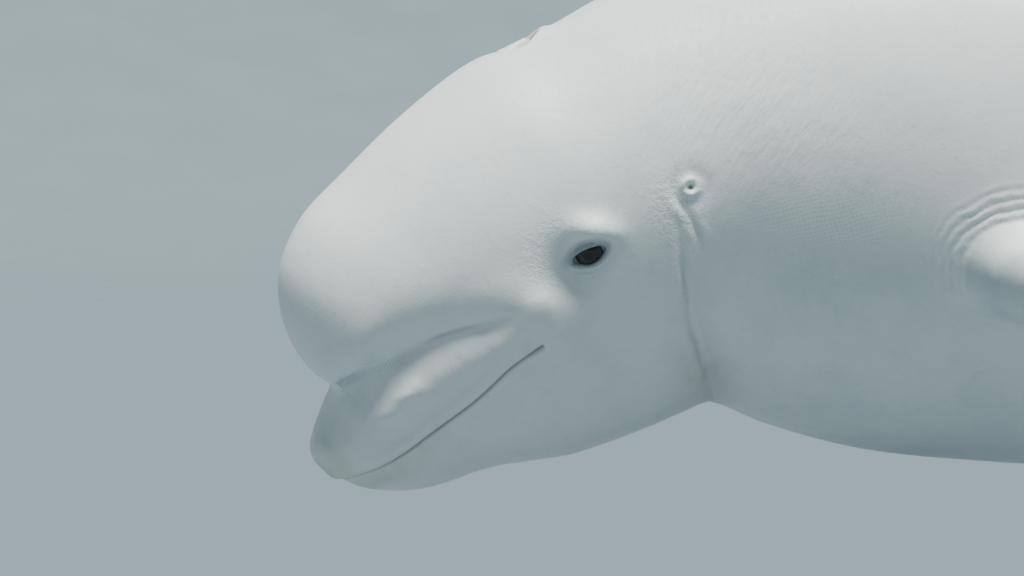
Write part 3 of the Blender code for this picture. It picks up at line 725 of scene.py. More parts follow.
def united(body, fins):
    """The body and fins as one closed skin, and each point's way from their joins."""
    whole = new_object("whole", new_mesh("whole", *body))
    added = new_object("added", new_mesh("added", *fins))
    union = whole.modifiers.new("union", "BOOLEAN")
    union.operation = "UNION"
    union.solver = "EXACT"
    union.object = added
    bm = bmesh.new()
    bm.from_mesh(finished_mesh(whole))
    for obj in (whole, added):
        bpy.data.objects.remove(obj)
    before = np.array([v.co for v in bm.verts])
    known, _ = nearest(np.vstack([body[0], fins[0]]), before)
    crossing = before[known > SAME_POINT]
    far, _ = nearest(crossing, before)
    bmesh.ops.triangulate(bm, faces=[f for f in bm.faces if len(f.verts) > 3])
    for reach in MERGE_REACHES:
        merged = bm.copy()
        close = [v for v, d in zip(merged.verts, far) if d < MERGE_BAND]
        bmesh.ops.remove_doubles(merged, verts=close, dist=reach)
        if all(len(e.link_faces) == 2 for e in merged.edges):
            bm.free()
            bm = merged
            break
        merged.free()
    bmesh.ops.recalc_face_normals(bm, faces=bm.faces)
    if any(len(e.link_faces) != 2 for e in bm.edges):
        raise RuntimeError("the skin isn't closed")
    mesh = mesh_of(bm, "joined")
    points, faces = read_mesh(mesh)
    bpy.data.meshes.remove(mesh)
    own, which = nearest(fins[0], points)
    return points, faces, crossing, np.where(own < SAME_FIN_POINT, which, -1)


def relax(points, faces, amount, rounds):
    """Evens the points out towards their neighbours, by an amount for each point."""
    edges, _ = edge_list(faces)
    edges = edges[(amount[edges] > 0).any(axis=1)]
    degree = np.bincount(edges.ravel(), minlength=len(points))
    share = (amount * 0.5 / np.maximum(degree, 1))[:, None]
    for _ in range(rounds):
        pull = np.zeros_like(points)
        gap = points[edges[:, 1]] - points[edges[:, 0]]
        for axis in range(3):
            pull[:, axis] += np.bincount(edges[:, 0], gap[:, axis], len(points))
            pull[:, axis] -= np.bincount(edges[:, 1], gap[:, axis], len(points))
        points = points + pull * share
    return points


class Carving:
    """Adds up how far each point of the skin moves out, and the marks on it, with the shade
    painted in its creases and round its lids.
    """

    def __init__(self, points):
        self.points = points
        self.x, self.y, self.z = points.T
        self.side = np.abs(self.y)
        self.out = np.zeros(len(points))
        # painted shade: how much darker the skin is painted in its creases, slits and fold
        # valleys
        self.crease_shade = np.zeros(len(points))
        self.lid_shade = np.zeros(len(points))

    def cut(self, depth, profile, dark=1.0):
        """Sinks the skin by the depth times the profile, and marks it for painted shade, as
        strong as the dark share.
        """
        self.out -= depth * profile
        self.crease_shade = np.maximum(self.crease_shade, dark * np.clip(profile, 0, 1))

    def raise_by(self, height, profile):
        self.out += height * profile

    def roll(self, height, strength, away, reach):
        """A soft roll of skin along a line, or a hollow where the height is negative."""
        self.raise_by(height, strength * bump(away, reach))


def carve_melon_fold(skin, depth):
    """The crease under the melon, with the melon's edge rolled over it."""
    away, along = follow(MELON_FOLD, skin.x, skin.z)
    off_centre = ease(0.010, 0.045, np.hypot(along * 0.24, skin.y * 0.5))
    front = (1 - ease(0.03, 0.20, along)) * off_centre
    rear = ease(0.40, 0.52, along) * (1 - ease(0.60, 0.86, along))
    skin.cut(depth * 0.6, front * bump(away, 0.0034), 0.7)
    skin.cut(depth * 0.26, rear * bump(away, 0.0021), 0.45)
    ends = 1 - ease(0.0, 0.02, np.where(along >= 1, np.abs(away), 0))
    skin.roll(0.0010, ends * (1 - ease(0.1, 0.6, along)), away - 0.010, 0.007)


def carve_mouth(skin, depth):
    """The line between the lips, and the soft roll of each lip along it."""
    away, along = follow(MOUTH_LINE, skin.x, skin.z)
    at_corner = np.where(along >= 1, 1 - ease(0, 0.005, np.abs(away)), 1)
    strength = (0.65 + 0.35 * ease(0.05, 0.45, along)) * at_corner
    half_width = 0.0016 + 0.0009 * ease(0.15, 0.6, along)
    skin.cut(depth, strength * bump(away, half_width))
    fade = strength * (1 - ease(0.90, 1.0, along))
    full = (0.6 + 0.4 * ease(0.1, 0.5, along)) * fade
    for height, share, above, reach in (
        (0.0042, full, 0.0085, 0.0068),
        (-0.0016, full, -0.0055, 0.0055),
        (0.0016, fade, -0.0190, 0.0090),
    ):
        skin.roll(height, share, away - above, reach)
    corner = from_spot(MOUTH_CORNER_AT, skin.x, skin.z)
    skin.roll(0.0014, ease(0.222, 0.242, skin.x), corner - 0.012, 0.008)


def carve_muzzle(skin, depth):
    """The furrow down the middle of the upper lip, between its two soft lobes."""
    tall = ease(-0.371, -0.360, skin.z) * (1 - ease(-0.340, -0.318, skin.z))
    front = tall * (1 - ease(0.020, 0.040, skin.x))
    skin.cut(depth * 0.8, front * bump(skin.y, 0.0050), 0.25)
    skin.roll(0.0028, front, skin.side - 0.017, 0.012)


def carve_neck(skin, depth):
    """The crease that runs from the ear to the throat, with its crinkled edges."""
    waver = 0.0022 * wander(skin, 0.040, 3)
    for line, share in ((JAW_CREASE, 1.0), (EAR_CREASE, 0.5), (THROAT_CREASE, 0.6)):
        away, along = follow(line, skin.x, skin.z)
        away = away + waver
        strength = share * ease(0.02, 0.4, along) * (1 - ease(0.75, 1, along))
        strength = strength * (0.75 + 0.25 * np.sin(along * 21))
        skin.cut(depth, strength * bump(away, 0.0028), 0.40)
        skin.roll(0.0016, strength, np.abs(away) - 0.0080, 0.0045)


def carve_ear(skin, depth):
    """The pin-hole of the ear, between two low crescents of skin."""
    u, v = skin.x - EAR_AT[0], skin.z - EAR_AT[1]
    reach, way = np.hypot(u, v), np.arctan2(v, u)
    crescents = np.maximum(np.maximum(np.cos(way - 2.4), np.cos(way - 4.7)), 0)
    skin.cut(depth, bump(reach, 0.0026), 0.7)
    skin.roll(0.0022, 0.15 + 0.85 * crescents, reach - 0.0078, 0.0036)
    skin.roll(-0.0012, 1, reach - 0.016, 0.007)


def carve_blowhole(skin, depth):
    """A crescent slit with its horns forward, in a shallow dip with soft lips."""
    above = ease(0.02, 0.06, skin.z)
    turn, arc = blowhole_turn(skin.y)
    away = (skin.x - arc) / np.hypot(1, 1.3 * turn)
    inside = above * (1 - ease(0.78, 1.12, np.abs(turn)))
    skin.cut(depth, inside * bump(away, 0.0040))
    skin.roll(0.0040, inside, away - 0.011, 0.007)
    skin.roll(0.0034, inside, away + 0.011, 0.006)
    skin.roll(-0.0035, above, np.hypot(skin.x - BLOWHOLE_X + 0.028, skin.y), 0.020)


def carve_body(skin, ridge_height):
    """The ridge on the back, and the marks on the belly."""
    t = np.clip((skin.x - RIDGE_FROM) / (RIDGE_TO - RIDGE_FROM), 0, 1)
    knobs = 0.78 + 0.22 * np.cos(2 * math.pi * RIDGE_KNOBS * t)
    rise = np.sin(math.pi * t) ** 0.6 * knobs * (skin.z > 0)
    skin.raise_by(ridge_height, rise * np.exp(-np.abs(skin.y / RIDGE_HALF_WIDTH) ** 1.7))
    under = skin.z < BELLY_BELOW
    navel = np.hypot(skin.x - NAVEL_X, 1.6 * skin.y)
    skin.cut(0.006, under * bump(navel, 0.012))
    slit = np.hypot(np.maximum(np.abs(skin.x - SLIT_X) - SLIT_HALF_LENGTH, 0), skin.y)
    skin.cut(0.008, under * bump(slit, 0.006))
    skin.roll(0.004, under, slit - 0.018, 0.010)
    skin.cut(0.006, under * bump(np.hypot(skin.x - VENT_X, skin.y), 0.008))


def carve_flipper_folds(skin, from_join, on_fin, height):
    """Rolls of loose skin in front of each flipper's root, where it turns."""
    waver = 0.0060 * wander(skin, 0.060, 11)
    waver = waver + 0.0016 * wander(skin, 0.018, 12)
    uneven = np.clip(0.62 + 0.55 * wander(skin, 0.045, 13), 0.12, 1)
    ahead = (1 - ease(0.77, 0.87, skin.x)) * ~on_fin
    ahead = ahead * (1 - ease(0.0, 0.075, FLIPPER_ROOT[1] - skin.z)) * uneven
    away = np.maximum(from_join + waver - 0.004, 0)
    wave = np.sqrt(np.sin(away * math.pi / FOLD_SPACING) ** 2 + 0.06)
    fade = ease(0.0, 0.006, from_join) * (1 - ease(0.018, 0.052, from_join))
    skin.raise_by(height * 0.8, ahead * fade * (wave - 0.55))
    # painted shade in the valleys between the rolls
    valley = ahead * fade * (1 - ease(0.25, 0.55, wave))
    skin.crease_shade = np.maximum(skin.crease_shade, 0.22 * valley)


class EyeFrame:
    """The eye's place on the skin, with its outward, long and short directions."""

    def __init__(self, tree, node):
        low, high = (np.array(corner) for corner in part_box(node))
        self.centre = (low + high) / 2 - MUZZLE
        _, out, _, _ = tree.find_nearest(Vector(self.centre))
        self.out = np.array(out)
        self.place = self.centre + self.out * EYE_DEPTH
        level = np.array([1.0, 0, 0])
        level = unit(level - self.out * level.dot(self.out))
        rise = np.cross(self.out, level)
        rise *= np.sign(rise[2])
        self.long = level * math.cos(EYE_TILT) + rise * math.sin(EYE_TILT)
        self.short = rise * math.cos(EYE_TILT) - level * math.sin(EYE_TILT)

    def outline(self, count=120):
        """The almond edge of the lids, as distances along the long and short ways."""
        a = np.linspace(0, 2 * math.pi, count, endpoint=False)
        rise = np.sign(np.sin(a)) * np.abs(np.sin(a)) ** 1.3
        return np.c_[EYE_SLIT[0] / 2 * np.cos(a), EYE_SLIT[1] / 2 * rise]

    def from_edge(self, points):
        """Each point's way from the lids' edge, negative inside, and its offsets."""
        offset = points - self.place
        u, v = offset @ self.long, offset @ self.short
        edge = self.outline()
        far = np.min(np.hypot(u[:, None] - edge[:, 0], v[:, None] - edge[:, 1]), axis=1)
        span = np.clip(1 - (u / (EYE_SLIT[0] / 2)) ** 2, 0, 1)
        inside = (np.abs(v) < EYE_SLIT[1] / 2 * span**0.65) & (span > 0)
        return np.where(inside, -far, far), u, v


def carve_eye(skin, eye, lid_height):
    """Lids that close round the eyeball, with soft folds above and below them."""
    near = np.linalg.norm(skin.points - eye.place, axis=1) < EYE_REGION
    away, u, v = eye.from_edge(skin.points[near])
    now = (skin.points[near] - eye.centre) @ eye.out
    reach = np.hypot(u, v)
    upper = ease(-0.007, 0.007, v)
    ball = np.sqrt(np.maximum(EYE_RADIUS**2 - reach**2, 0))
    rim = np.maximum(ball + lid_height, EYE_DEPTH - EYE_RIM_BACK)
    hug = bump(np.maximum(away, 0), 0.0085)
    wanted = now + (rim - now) * hug
    lip = lid_height * bump(away - 0.0020, 0.0024)
    for far, above, below, wide in LID_FOLDS:
        lip = lip - (below + (above - below) * upper) * bump(away - far, wide)
    floor = np.maximum(ball - 0.0018, EYE_DEPTH - EYE_FLOOR_BACK)
    down = ease(0, 0.0024, -away)
    inside = rim + 0.5 * lid_height + (floor - rim) * down
    wanted = np.where(away < 0, inside, wanted + lip)
    skin.points[near] += eye.out * (wanted - now)[:, None]
    # painted shade at the lids' edge, darkest inside the slit
    skin.crease_shade[near] = np.maximum(skin.crease_shade[near], ease(-0.0012, 0.0016, -away))
    # grey lid skin, and painted shade too, reaching further above the eye under the brow pad
    dark = bump(np.maximum(away - 0.001, 0), 0.0040 + 0.003 * upper)
    skin.lid_shade[near] = np.maximum(skin.lid_shade[near], dark)


def brow_pad(skin):
    """The domed pad over the eye, which shades it, and the hollow before it."""
    u, v = skin.x - EYE_AT[0] - 0.0055, skin.z - EYE_AT[1] - 0.0265
    wide, tall = BROW_PAD_SIZE
    reach = np.hypot(u / wide, (v + 0.18 * u) / tall)
    skin.raise_by(0.0034, np.exp(-(reach**2.6)))
    across, up = skin.x - EYE_HOLLOW_AT[0], skin.z - EYE_HOLLOW_AT[1]
    wide, tall = EYE_HOLLOW_SIZE
    skin.roll(-0.0048, 1, np.hypot(across / wide, up / tall), 1)


def store(mesh, name, values):
    made = mesh.attributes.new(name, "FLOAT", "POINT")
    made.data.foreach_set("value", np.asarray(values, np.float32))


def skin_marks(skin, fin_edge):
    """Where the skin is stained, grey, pleated, hatched or rippled, and where shade and a
    highlight are painted on it, from 0 to 1.
    """
    x, z = skin.x, skin.z
    fold, fold_along = follow(MELON_FOLD, x, z)
    mouth, mouth_along = follow(MOUTH_LINE, x, z)
    crease, _ = follow(JAW_CREASE, x, z)
    chin = bump(mouth + 0.010, 0.014) * (1 - ease(0.15, 0.6, mouth_along))
    _, arc = blowhole_turn(skin.y)
    hole = np.hypot(x - arc, np.maximum(skin.side - 0.030, 0)) + (z < BLOWHOLE_ABOVE)
    stains = (
        0.9 * bump(from_spot(LIP_TIP_AT, x, z), 0.024),
        0.6 * chin,
        0.9 * bump(hole, 0.009),
        0.5 * (bump(crease, 0.030) * (1 - ease(-0.27, -0.20, z))),
    )
    # the brow pad, where a highlight is painted on the skin
    pad = np.hypot((x - EYE_AT[0] - 0.004) / 0.030, (z - EYE_AT[1] - 0.0235) / 0.015)
    before_eye = from_spot(EYE_AT, x, z, shift=(-0.03, 0))
    return {
        # painted shade in the creases
        "crease_shade": skin.crease_shade,
        # grey lids, with painted shade under the brow
        "lid_shade": skin.lid_shade,
        "stain": np.maximum.reduce(stains),
        "brow_highlight": np.exp(-(pad**3)),
        "fin_edge": fin_edge,
        "pleat": bump(fold + 0.006, 0.016) * bump(fold_along - 0.26, 0.09),
        "pleat_way": fold_along * 0.25,
        "crinkle": np.maximum(bump(crease, 0.022), bump(before_eye, 0.035) * 0.8),
        "nape": bump(from_spot((0.43, 0.04), x, z, counts=(0.7, 1)), 0.085),
        "hatch": bump(from_spot((0.49, -0.15), x, z, counts=(0.8, 1)), 0.065),
        "ripple": bump(from_spot((0.182, -0.285), x, z), 0.024),
    }


def fin_edges(rows, at_ends):
    """How near each point of a lofted fin is to a thin edge of it, from 0 to 1."""
    a = np.linspace(0, 2 * math.pi, len(rows[0]), endpoint=False)
    back = (1 - np.cos(a)) / 2
    edge = ease(0.80, 1.0, back) + 0.5 * (1 - ease(0, 0.06, back))
    return np.concatenate([np.tile(edge, len(rows)), [at_ends, at_ends]])


def plain_skin(fineness):
    """The swollen plain body, before anything is cut into it or joined to it."""
    points, faces = closed_body(fineness)
    return points + vertex_normals(points, faces) * broad_relief(points)[:, None], faces


def make_skin_mesh(form):
    """The whole whale's skin as one mesh, with the marks that its finish reads."""
    points, faces = plain_skin(form.fineness)
    points = undercut(points)
    snout = from_spot(BEAK_FRONT_AT, points[:, 0], points[:, 2])
    ridge, _ = follow(LIP_ROLL, points[:, 0], points[:, 2])
    at_ridge = 1 - ease(0.012, 0.034, np.abs(ridge))
    soft = np.maximum(1 - ease(0.018, 0.042, snout), 0.8 * at_ridge)
    points = relax(points, faces, soft, form.snout_rounds)
    flipper = flipper_rows(on_right_side(tree_of(points, faces), *FLIPPER_ROOT))
    flukes = fluke_rows()
    right, right_faces = loft(flipper)
    left = (right * (1, -1, 1), right_faces[:, ::-1])
    fins = joined([(right, right_faces), left, loft(flukes)])
    points, faces, crossing, own = united((points, faces), fins)
    from_join, _ = nearest(crossing, points)
    at_flippers = 1 - ease(0.008, 0.042, from_join)
    at_flukes = 1 - ease(0.01, 0.075, from_join)
    amount = np.where(points[:, 0] > TAIL_FROM, at_flukes, at_flippers)
    points = relax(points, faces, amount, form.fillet_rounds)
    skin = Carving(points)
    carve_melon_fold(skin, form.fold_depth)
    carve_mouth(skin, form.mouth_depth)
    carve_muzzle(skin, form.furrow_depth)
    carve_neck(skin, form.crease_depth)
    carve_ear(skin, form.ear_depth)
    carve_blowhole(skin, form.blowhole_depth)
    carve_body(skin, form.ridge_height)
    carve_flipper_folds(skin, from_join, own >= 0, form.flipper_fold_height)
    brow_pad(skin)
    skin.points = points + vertex_normals(points, faces) * skin.out[:, None]
    tree = tree_of(points, faces)
    for node in ("eye_left", "eye_right"):
        carve_eye(skin, EyeFrame(tree, node), form.lid_height)
    flipper_edge = fin_edges(flipper, 0)
    edge = np.concatenate([flipper_edge, flipper_edge, fin_edges(flukes, 1)])
    mesh = new_mesh("whale_skin", skin.points + MUZZLE, faces)
    for name, values in skin_marks(skin, np.where(own >= 0, edge[own], 0)).items():
        store(mesh, name, values)
    mesh.shade_smooth()
    return mesh


class Value:
    """A number that varies over a surface or a shape, written as plain arithmetic."""

    def __init__(self, graph, socket):
        self.graph = graph
        self.socket = socket

    def math(self, operation, *others, clamp=False):
        inputs = dict(enumerate((self, *others)))
        settings = {"operation": operation, "use_clamp": clamp}
        made = self.graph.node("ShaderNodeMath", settings, inputs)
        return Value(self.graph, made.outputs[0])

    def __add__(self, other):
        return self.math("ADD", other)

    def __sub__(self, other):
        return self.math("SUBTRACT", other)

    def __mul__(self, other):
        return self.math("MULTIPLY", other)

    def __rsub__(self, other):
        return self * -1.0 + other

    def __pow__(self, other):
        return self.math("POWER", other)

    __radd__, __rmul__ = __add__, __mul__

    def held(self):
        """The same number, kept between 0 and 1."""
        return self.math("ADD", 0.0, clamp=True)

    def wave(self):
        return self.math("SINE")

    def between(self, low, high):
        """0 below low, 1 above high, with a smooth step between them."""
        settings = {"interpolation_type": "SMOOTHSTEP"}
        inputs = {"Value": self, "From Min": low, "From Max": high}
        made = self.graph.node("ShaderNodeMapRange", settings, inputs)
        return Value(self.graph, made.outputs["Result"])


class Graph:
    """One tree of nodes, and the only way that a node is added to it."""

    def __init__(self, tree):
        self.tree = tree

    def node(self, kind, settings=None, inputs=None):
        made = self.tree.nodes.new(kind)
        for name, value in (settings or {}).items():
            setattr(made, name, value)
        for name, value in (inputs or {}).items():
            self.feed(made.inputs[name], value)
        return made

    def feed(self, socket, value):
        if isinstance(value, Value):
            value = value.socket
        if isinstance(value, bpy.types.NodeSocket):
            self.tree.links.new(value, socket)
        elif socket.type == "RGBA" and len(value) == 3:
            socket.default_value = (*value, 1)
        else:
            socket.default_value = value

    def output(self, kind, **inputs):
        """The first output of a new node."""
        return self.node(kind, None, inputs).outputs[0]

    def mark(self, name):
        """A number stored on the mesh's points."""
        made = self.node("ShaderNodeAttribute", {"attribute_name": name})
        return Value(self, made.outputs["Fac"])

    def mix(self, amount, first, second):
        """A colour between two, by the amount."""
        made = self.node("ShaderNodeMix", {"data_type": "RGBA"})
        for socket, value in ((0, amount), (6, first), (7, second)):
            self.feed(made.inputs[socket], value)
        return made.outputs[2]


# Cloudy patterns: waves to the metre, detail, roughness, and the band that is shown.
PATTERNS = {
    "clouds": (2.6, 4, 0.55, 0.35, 0.68),
    "patches": (14, 4, 0.62, 0.40, 0.72),
    "flecks": (95, 3, 0.6, 0.50, 0.75),
    "skin grain": (420, 2, 0.5),
    "sway": (22, 3, 0.5),
    "crinkle": (210, 4, 0.7, 0.35, 0.65),
    "wrinkles": (1.0, 3, 0.6, 0.35, 0.65),
    "iris": (900, 3, 0.6),
    "dust": (6, 5, 0.6, 0.45, 0.75),
    "orange peel": (340, 2, 0.4),
    "scuffs": (38, 5, 0.7, 0.60, 0.74),
    "brushing": (1.0, 3, 0.6),
    "smears": (9, 3, 0.5, 0.4, 0.7),
    "rubber grain": (520, 3, 0.6),
    "bloom": (30, 4, 0.6, 0.45, 0.75),
    "floor clouding": (0.7, 3, 0.5, 0.3, 0.7),
}
# How fast the wavy lines in the skin turn, as radians to the metre.
PLEAT_WAVES = 1900.0
HATCH_WAVES = (1450.0, 1380.0)
RIPPLE_WAVES = 2250.0
# How closely the nape's wrinkles lie, along a slanted x, y and z.
WRINKLE_STRETCH = (34.0, 60.0, 150.0)
BRUSHED_SCALE = (900, 900, 14)


class Finish(Graph):
    """A material's nodes, with the numbers that don't vary set on its shader."""

    def __init__(self, name, fixed):
        self.material = bpy.data.materials.new(name)
        self.material.use_nodes = True
        super().__init__(self.material.node_tree)
        self.shader = self.tree.nodes["Principled BSDF"].inputs
        self.where = self.node("ShaderNodeTexCoord").outputs["Object"]
        for socket, value in fixed.items():
            self.feed(self.shader[socket], value)

    def pattern(self, name, where=None):
        """One of the cloudy patterns, at the object's places or at others."""
        scale, detail, roughness, *band = PATTERNS[name]
        places = self.where if where is None else where
        inputs = {"Vector": places, "Scale": scale, "Detail": detail, "Roughness": roughness}
        value = Value(self, self.output("ShaderNodeTexNoise", **inputs))
        return value.between(*band) if band else value

    def done(self, colour, rough, height=None):
        """The material, with this colour, roughness and relief in millimetres."""
        self.feed(self.shader["Base Color"], colour)
        self.feed(self.shader["Roughness"], rough)
        if height is not None:
            relief = {"Height": height, "Strength": 1.0, "Distance": 0.001}
            self.feed(self.shader["Normal"], self.output("ShaderNodeBump", **relief))
        return self.material


def whale_skin_material(look):
    """Cool white skin: cloudy, greyer at the fins' edges, with fine creases, painted shade in the
    creases and round the lids, and a painted highlight on the brow pad.
    """
    fixed = {
        "Subsurface Weight": 0.10,
        "Subsurface Radius": (0.9, 0.6, 0.5),
        "Subsurface Scale": 0.012,
        "Coat Roughness": 0.30,
        "Coat Weight": 0.12,
    }
    skin = Finish("whale_skin", fixed)
    clouds, patches, flecks = map(skin.pattern, ("clouds", "patches", "flecks"))
    grain, crease_shade = skin.pattern("skin grain"), skin.mark("crease_shade")
    shade = (clouds * 0.45 + patches * 0.38 + flecks * 0.22).held()
    colour = skin.mix(shade, look.skin_light, look.skin_shade)
    for amount, tint in (
        ((skin.mark("stain") * (0.65 + patches * 0.45) * 0.80).held(), look.skin_stain),
        # painted highlight on the brow pad
        (skin.mark("brow_highlight") * 0.45, look.brow_highlight_tint),
        ((skin.mark("fin_edge") * (0.45 + clouds * 0.35)).held(), look.fin_grey),
        # grey lids, partly painted shade
        (skin.mark("lid_shade") * 0.75, look.lid_grey_and_shade),
        # painted shade deep in the creases
        ((crease_shade**1.4 * 0.85).held(), look.crease_shade),
    ):
        colour = skin.mix(amount, colour, tint)
    rough = 0.40 + patches * 0.08 + grain * 0.06 - crease_shade * 0.05
    height = grain * 0.12 + flecks * 0.08 + patches * 0.15 + skin_creases(skin)
    return skin.done(colour, rough, height)


def skin_creases(skin):
    """The fine relief that belongs to marked parts of the skin only."""
    parts = skin.node("ShaderNodeSeparateXYZ", None, {"Vector": skin.where}).outputs
    x, y, z = (Value(skin, part) for part in parts)
    sway = skin.pattern("sway") * 5.0
    pleats = (skin.mark("pleat_way") * PLEAT_WAVES + sway).wave() * skin.mark("pleat")
    hatch_x = ((x + z * 0.35) * HATCH_WAVES[0] + sway * 3.0).wave() * 0.5 + 0.5
    hatch_z = ((z - x * 0.25) * HATCH_WAVES[1] + sway * 3.2).wave() * 0.5 + 0.5
    hatch = (hatch_x**2.0 + hatch_z**2.0) * skin.mark("hatch")
    slant = x * 0.42 + z * 0.91
    ripples = (slant * RIPPLE_WAVES + sway * 0.8).wave() * skin.mark("ripple")
    ways = (x * 0.50 + z * 0.87, y, x * 0.87 - z * 0.50)
    drawn = {name: way * by for name, way, by in zip("XYZ", ways, WRINKLE_STRETCH)}
    slanted = skin.output("ShaderNodeCombineXYZ", **drawn)
    wrinkles = skin.pattern("wrinkles", slanted) * (0.05 + skin.mark("nape") * 0.34)
    crinkle = skin.pattern("crinkle") * skin.mark("crinkle")
    return wrinkles + pleats * 0.16 + ripples * 0.14 - hatch * 0.20 + crinkle * 0.45


def eye_material(look):
    """A near-black, wet eye: dark brown iris, darker pupil, bluish rim."""
    eye = Finish("whale_eye", {"Coat Weight": 0.45, "Coat Roughness": 0.03, "IOR": 1.33})
    ring, streaks = eye.mark("from_pupil"), eye.pattern("iris")
    iris = eye.mix(streaks.between(0.35, 0.7), look.iris, look.iris_light)
    iris = eye.mix(ring.between(0.50, 0.62), iris, look.eye_rim)
    colour = eye.mix(1 - ring.between(0.22, 0.27), iris, look.pupil)
    return eye.done(colour, 0.10 + streaks * 0.10)


def paint_material(look):
    """Satin paint on steel, with fine orange peel, cloudy dust and scuffs."""
    paint = Finish("stand_paint", {"Coat Weight": 0.25})
    dust, peel, scuffs = map(paint.pattern, ("dust", "orange peel", "scuffs"))
    colour = paint.mix(dust * 0.35, look.paint, look.paint_dust)
    colour = paint.mix(scuffs * 0.25, colour, look.paint_dust)
    rough = 0.36 + dust * 0.14 + scuffs * 0.12
    return paint.done(colour, rough, peel * 0.08 + scuffs * 0.03)


def steel_material(look):
    """Brushed steel, its fine lines running up the rods."""
    steel = Finish("stand_steel", {"Metallic": 1.0})
    stretch = {"Vector": steel.where, "Scale": BRUSHED_SCALE}
    lines = steel.pattern("brushing", steel.output("ShaderNodeMapping", **stretch))
    colour = steel.mix(lines.between(0.3, 0.7), look.steel, look.steel_dark)
    rough = 0.26 + lines * 0.14 + steel.pattern("smears") * 0.10
    return steel.done(colour, rough, lines * 0.03)


def rubber_material(look):
    """Matt rubber with a grey bloom and a fine grain."""
    rubber = Finish("stand_rubber", {"Coat Weight": 0.0})
    grain, bloom = rubber.pattern("rubber grain"), rubber.pattern("bloom")
    colour = rubber.mix(bloom * 0.4, look.rubber, look.rubber_bloom)
    return rubber.done(colour, 0.62 + bloom * 0.16, grain * 0.12)


def floor_material(look):
    """A plain matt floor, softly clouded."""
    floor = Finish("studio_floor", {})
    soft = floor.pattern("floor clouding")
    colour = floor.mix(soft * 0.25, look.floor, look.floor_shade)
    return floor.done(colour, 0.78 + soft * 0.08)


def place_piece(name, mesh, finish, nodes=()):
    """Puts a finished mesh in the scene as a piece of the whale's one body."""
    piece = new_object(name, mesh)
    mesh.materials.clear()
    mesh.materials.append(finish)
    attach(piece, "root")
    if nodes:
        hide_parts(*nodes)
    return piece


def circle(centre, radius, height, around=64):
    """Places round an upright line."""
    turns = np.linspace(0, 2 * math.pi, around, endpoint=False)
    x, y = centre
    return [(x + radius * math.cos(a), y + radius * math.sin(a), height) for a in turns]


def ring_mesh(name, rings, tube=True):
    """A mesh over rings of places: a closed tube, or a dish with a flat middle."""
    bm = bmesh.new()
    rings = [[bm.verts.new(place) for place in ring] for ring in rings]
    following = rings[1:] + rings[:1] if tube else rings[1:]
    for a, b in zip(rings, following):
        for i in range(len(a)):
            j = (i + 1) % len(a)
            bm.faces.new((a[i], a[j], b[j], b[i]))
    if tube:
        bmesh.ops.recalc_face_normals(bm, faces=bm.faces)
    else:
        bm.faces.new(rings[-1])
    return mesh_of(bm, name)


def eyeball_mesh(name, eye, bulge, around=48):
    """A ball with a low clear bulge in front, and its rings' way from the pupil."""
    front, cornea = 1.1, 0.42
    tilts = [np.linspace(0, front, 30)[1:], np.linspace(front, math.pi, 22)[1:-1]]
    tilts = np.concatenate(tilts)
    across = np.cross(eye.out, eye.long)
    rows = []
    for t in tilts:
        radius = EYE_RADIUS + bulge * math.exp(-((t / cornea) ** 4))
        row = []
        for a in np.linspace(0, 2 * math.pi, around, endpoint=False):
            sideways = eye.long * math.cos(a) + across * math.sin(a)
            way = eye.out * math.cos(t) + math.sin(t) * sideways
            row.append(eye.centre + way * radius)
        rows.append(row)
    poles = (eye.centre + eye.out * (EYE_RADIUS + bulge), eye.centre - eye.out * EYE_RADIUS)
    points, faces = loft(rows, poles)
    mesh = new_mesh(name, points + MUZZLE, faces)
    store(mesh, "from_pupil", [*np.repeat(tilts, around), 0, math.pi])
    mesh.shade_smooth()
    return mesh


def rounded(mesh, width, segments=3, angle=0.6):
    """The mesh with its sharp edges rounded."""
    obj = new_object("rounded", mesh)
    edge = obj.modifiers.new("edges", "BEVEL")
    edge.width = width
    edge.segments = segments
    edge.limit_method = "ANGLE"
    edge.angle_limit = angle
    done = finished_mesh(obj)
    done.name = mesh.name
    bpy.data.objects.remove(obj)
    done.shade_smooth()
    return done


def screw_ring_tree(finish):
    """Geometry nodes that set hexagon-headed screws and washers round a circle."""
    tree = bpy.data.node_groups.new("screw_ring", "GeometryNodeTree")
    tree.interface.new_socket("Geometry", in_out="OUTPUT", socket_type="NodeSocketGeometry")
    for name, kind, value in (
        ("Count", "Int", 6),
        ("Ring Radius", "Float", 0.05),
        ("Head Radius", "Float", 0.006),
        ("Head Height", "Float", 0.004),
        ("Centre", "Vector", (0, 0, 0)),
    ):
        kind = f"NodeSocket{kind}"
        socket = tree.interface.new_socket(name, in_out="INPUT", socket_type=kind)
        socket.default_value = value
    graph = Graph(tree)
    given = graph.node("NodeGroupInput").outputs
    radius, height = (Value(graph, given[name]) for name in ("Head Radius", "Head Height"))
    both = graph.node("GeometryNodeJoinGeometry")
    for sides, wide, tall, start in SCREW_AND_WASHER:
        size = {"Vertices": sides, "Radius": radius * wide, "Depth": height * tall}
        head = graph.output("GeometryNodeMeshCylinder", **size)
        rise = graph.output("ShaderNodeCombineXYZ", Z=height * (start + tall / 2))
        head = graph.output("GeometryNodeTransform", Geometry=head, Translation=rise)
        tree.links.new(head, both.inputs[0])
    ring = {"Vertices": given["Count"], "Radius": given["Ring Radius"]}
    ring = graph.output("GeometryNodeMeshCircle", **ring)
    placed = {"Points": ring, "Instance": both.outputs[0]}
    made = graph.output("GeometryNodeInstanceOnPoints", **placed)
    made = graph.output("GeometryNodeTransform", Geometry=made, Translation=given["Centre"])
    made = graph.output("GeometryNodeRealizeInstances", Geometry=made)
    made = graph.output("GeometryNodeSetMaterial", Geometry=made, Material=finish)
    tree.links.new(made, graph.node("NodeGroupOutput").inputs[0])
    return tree


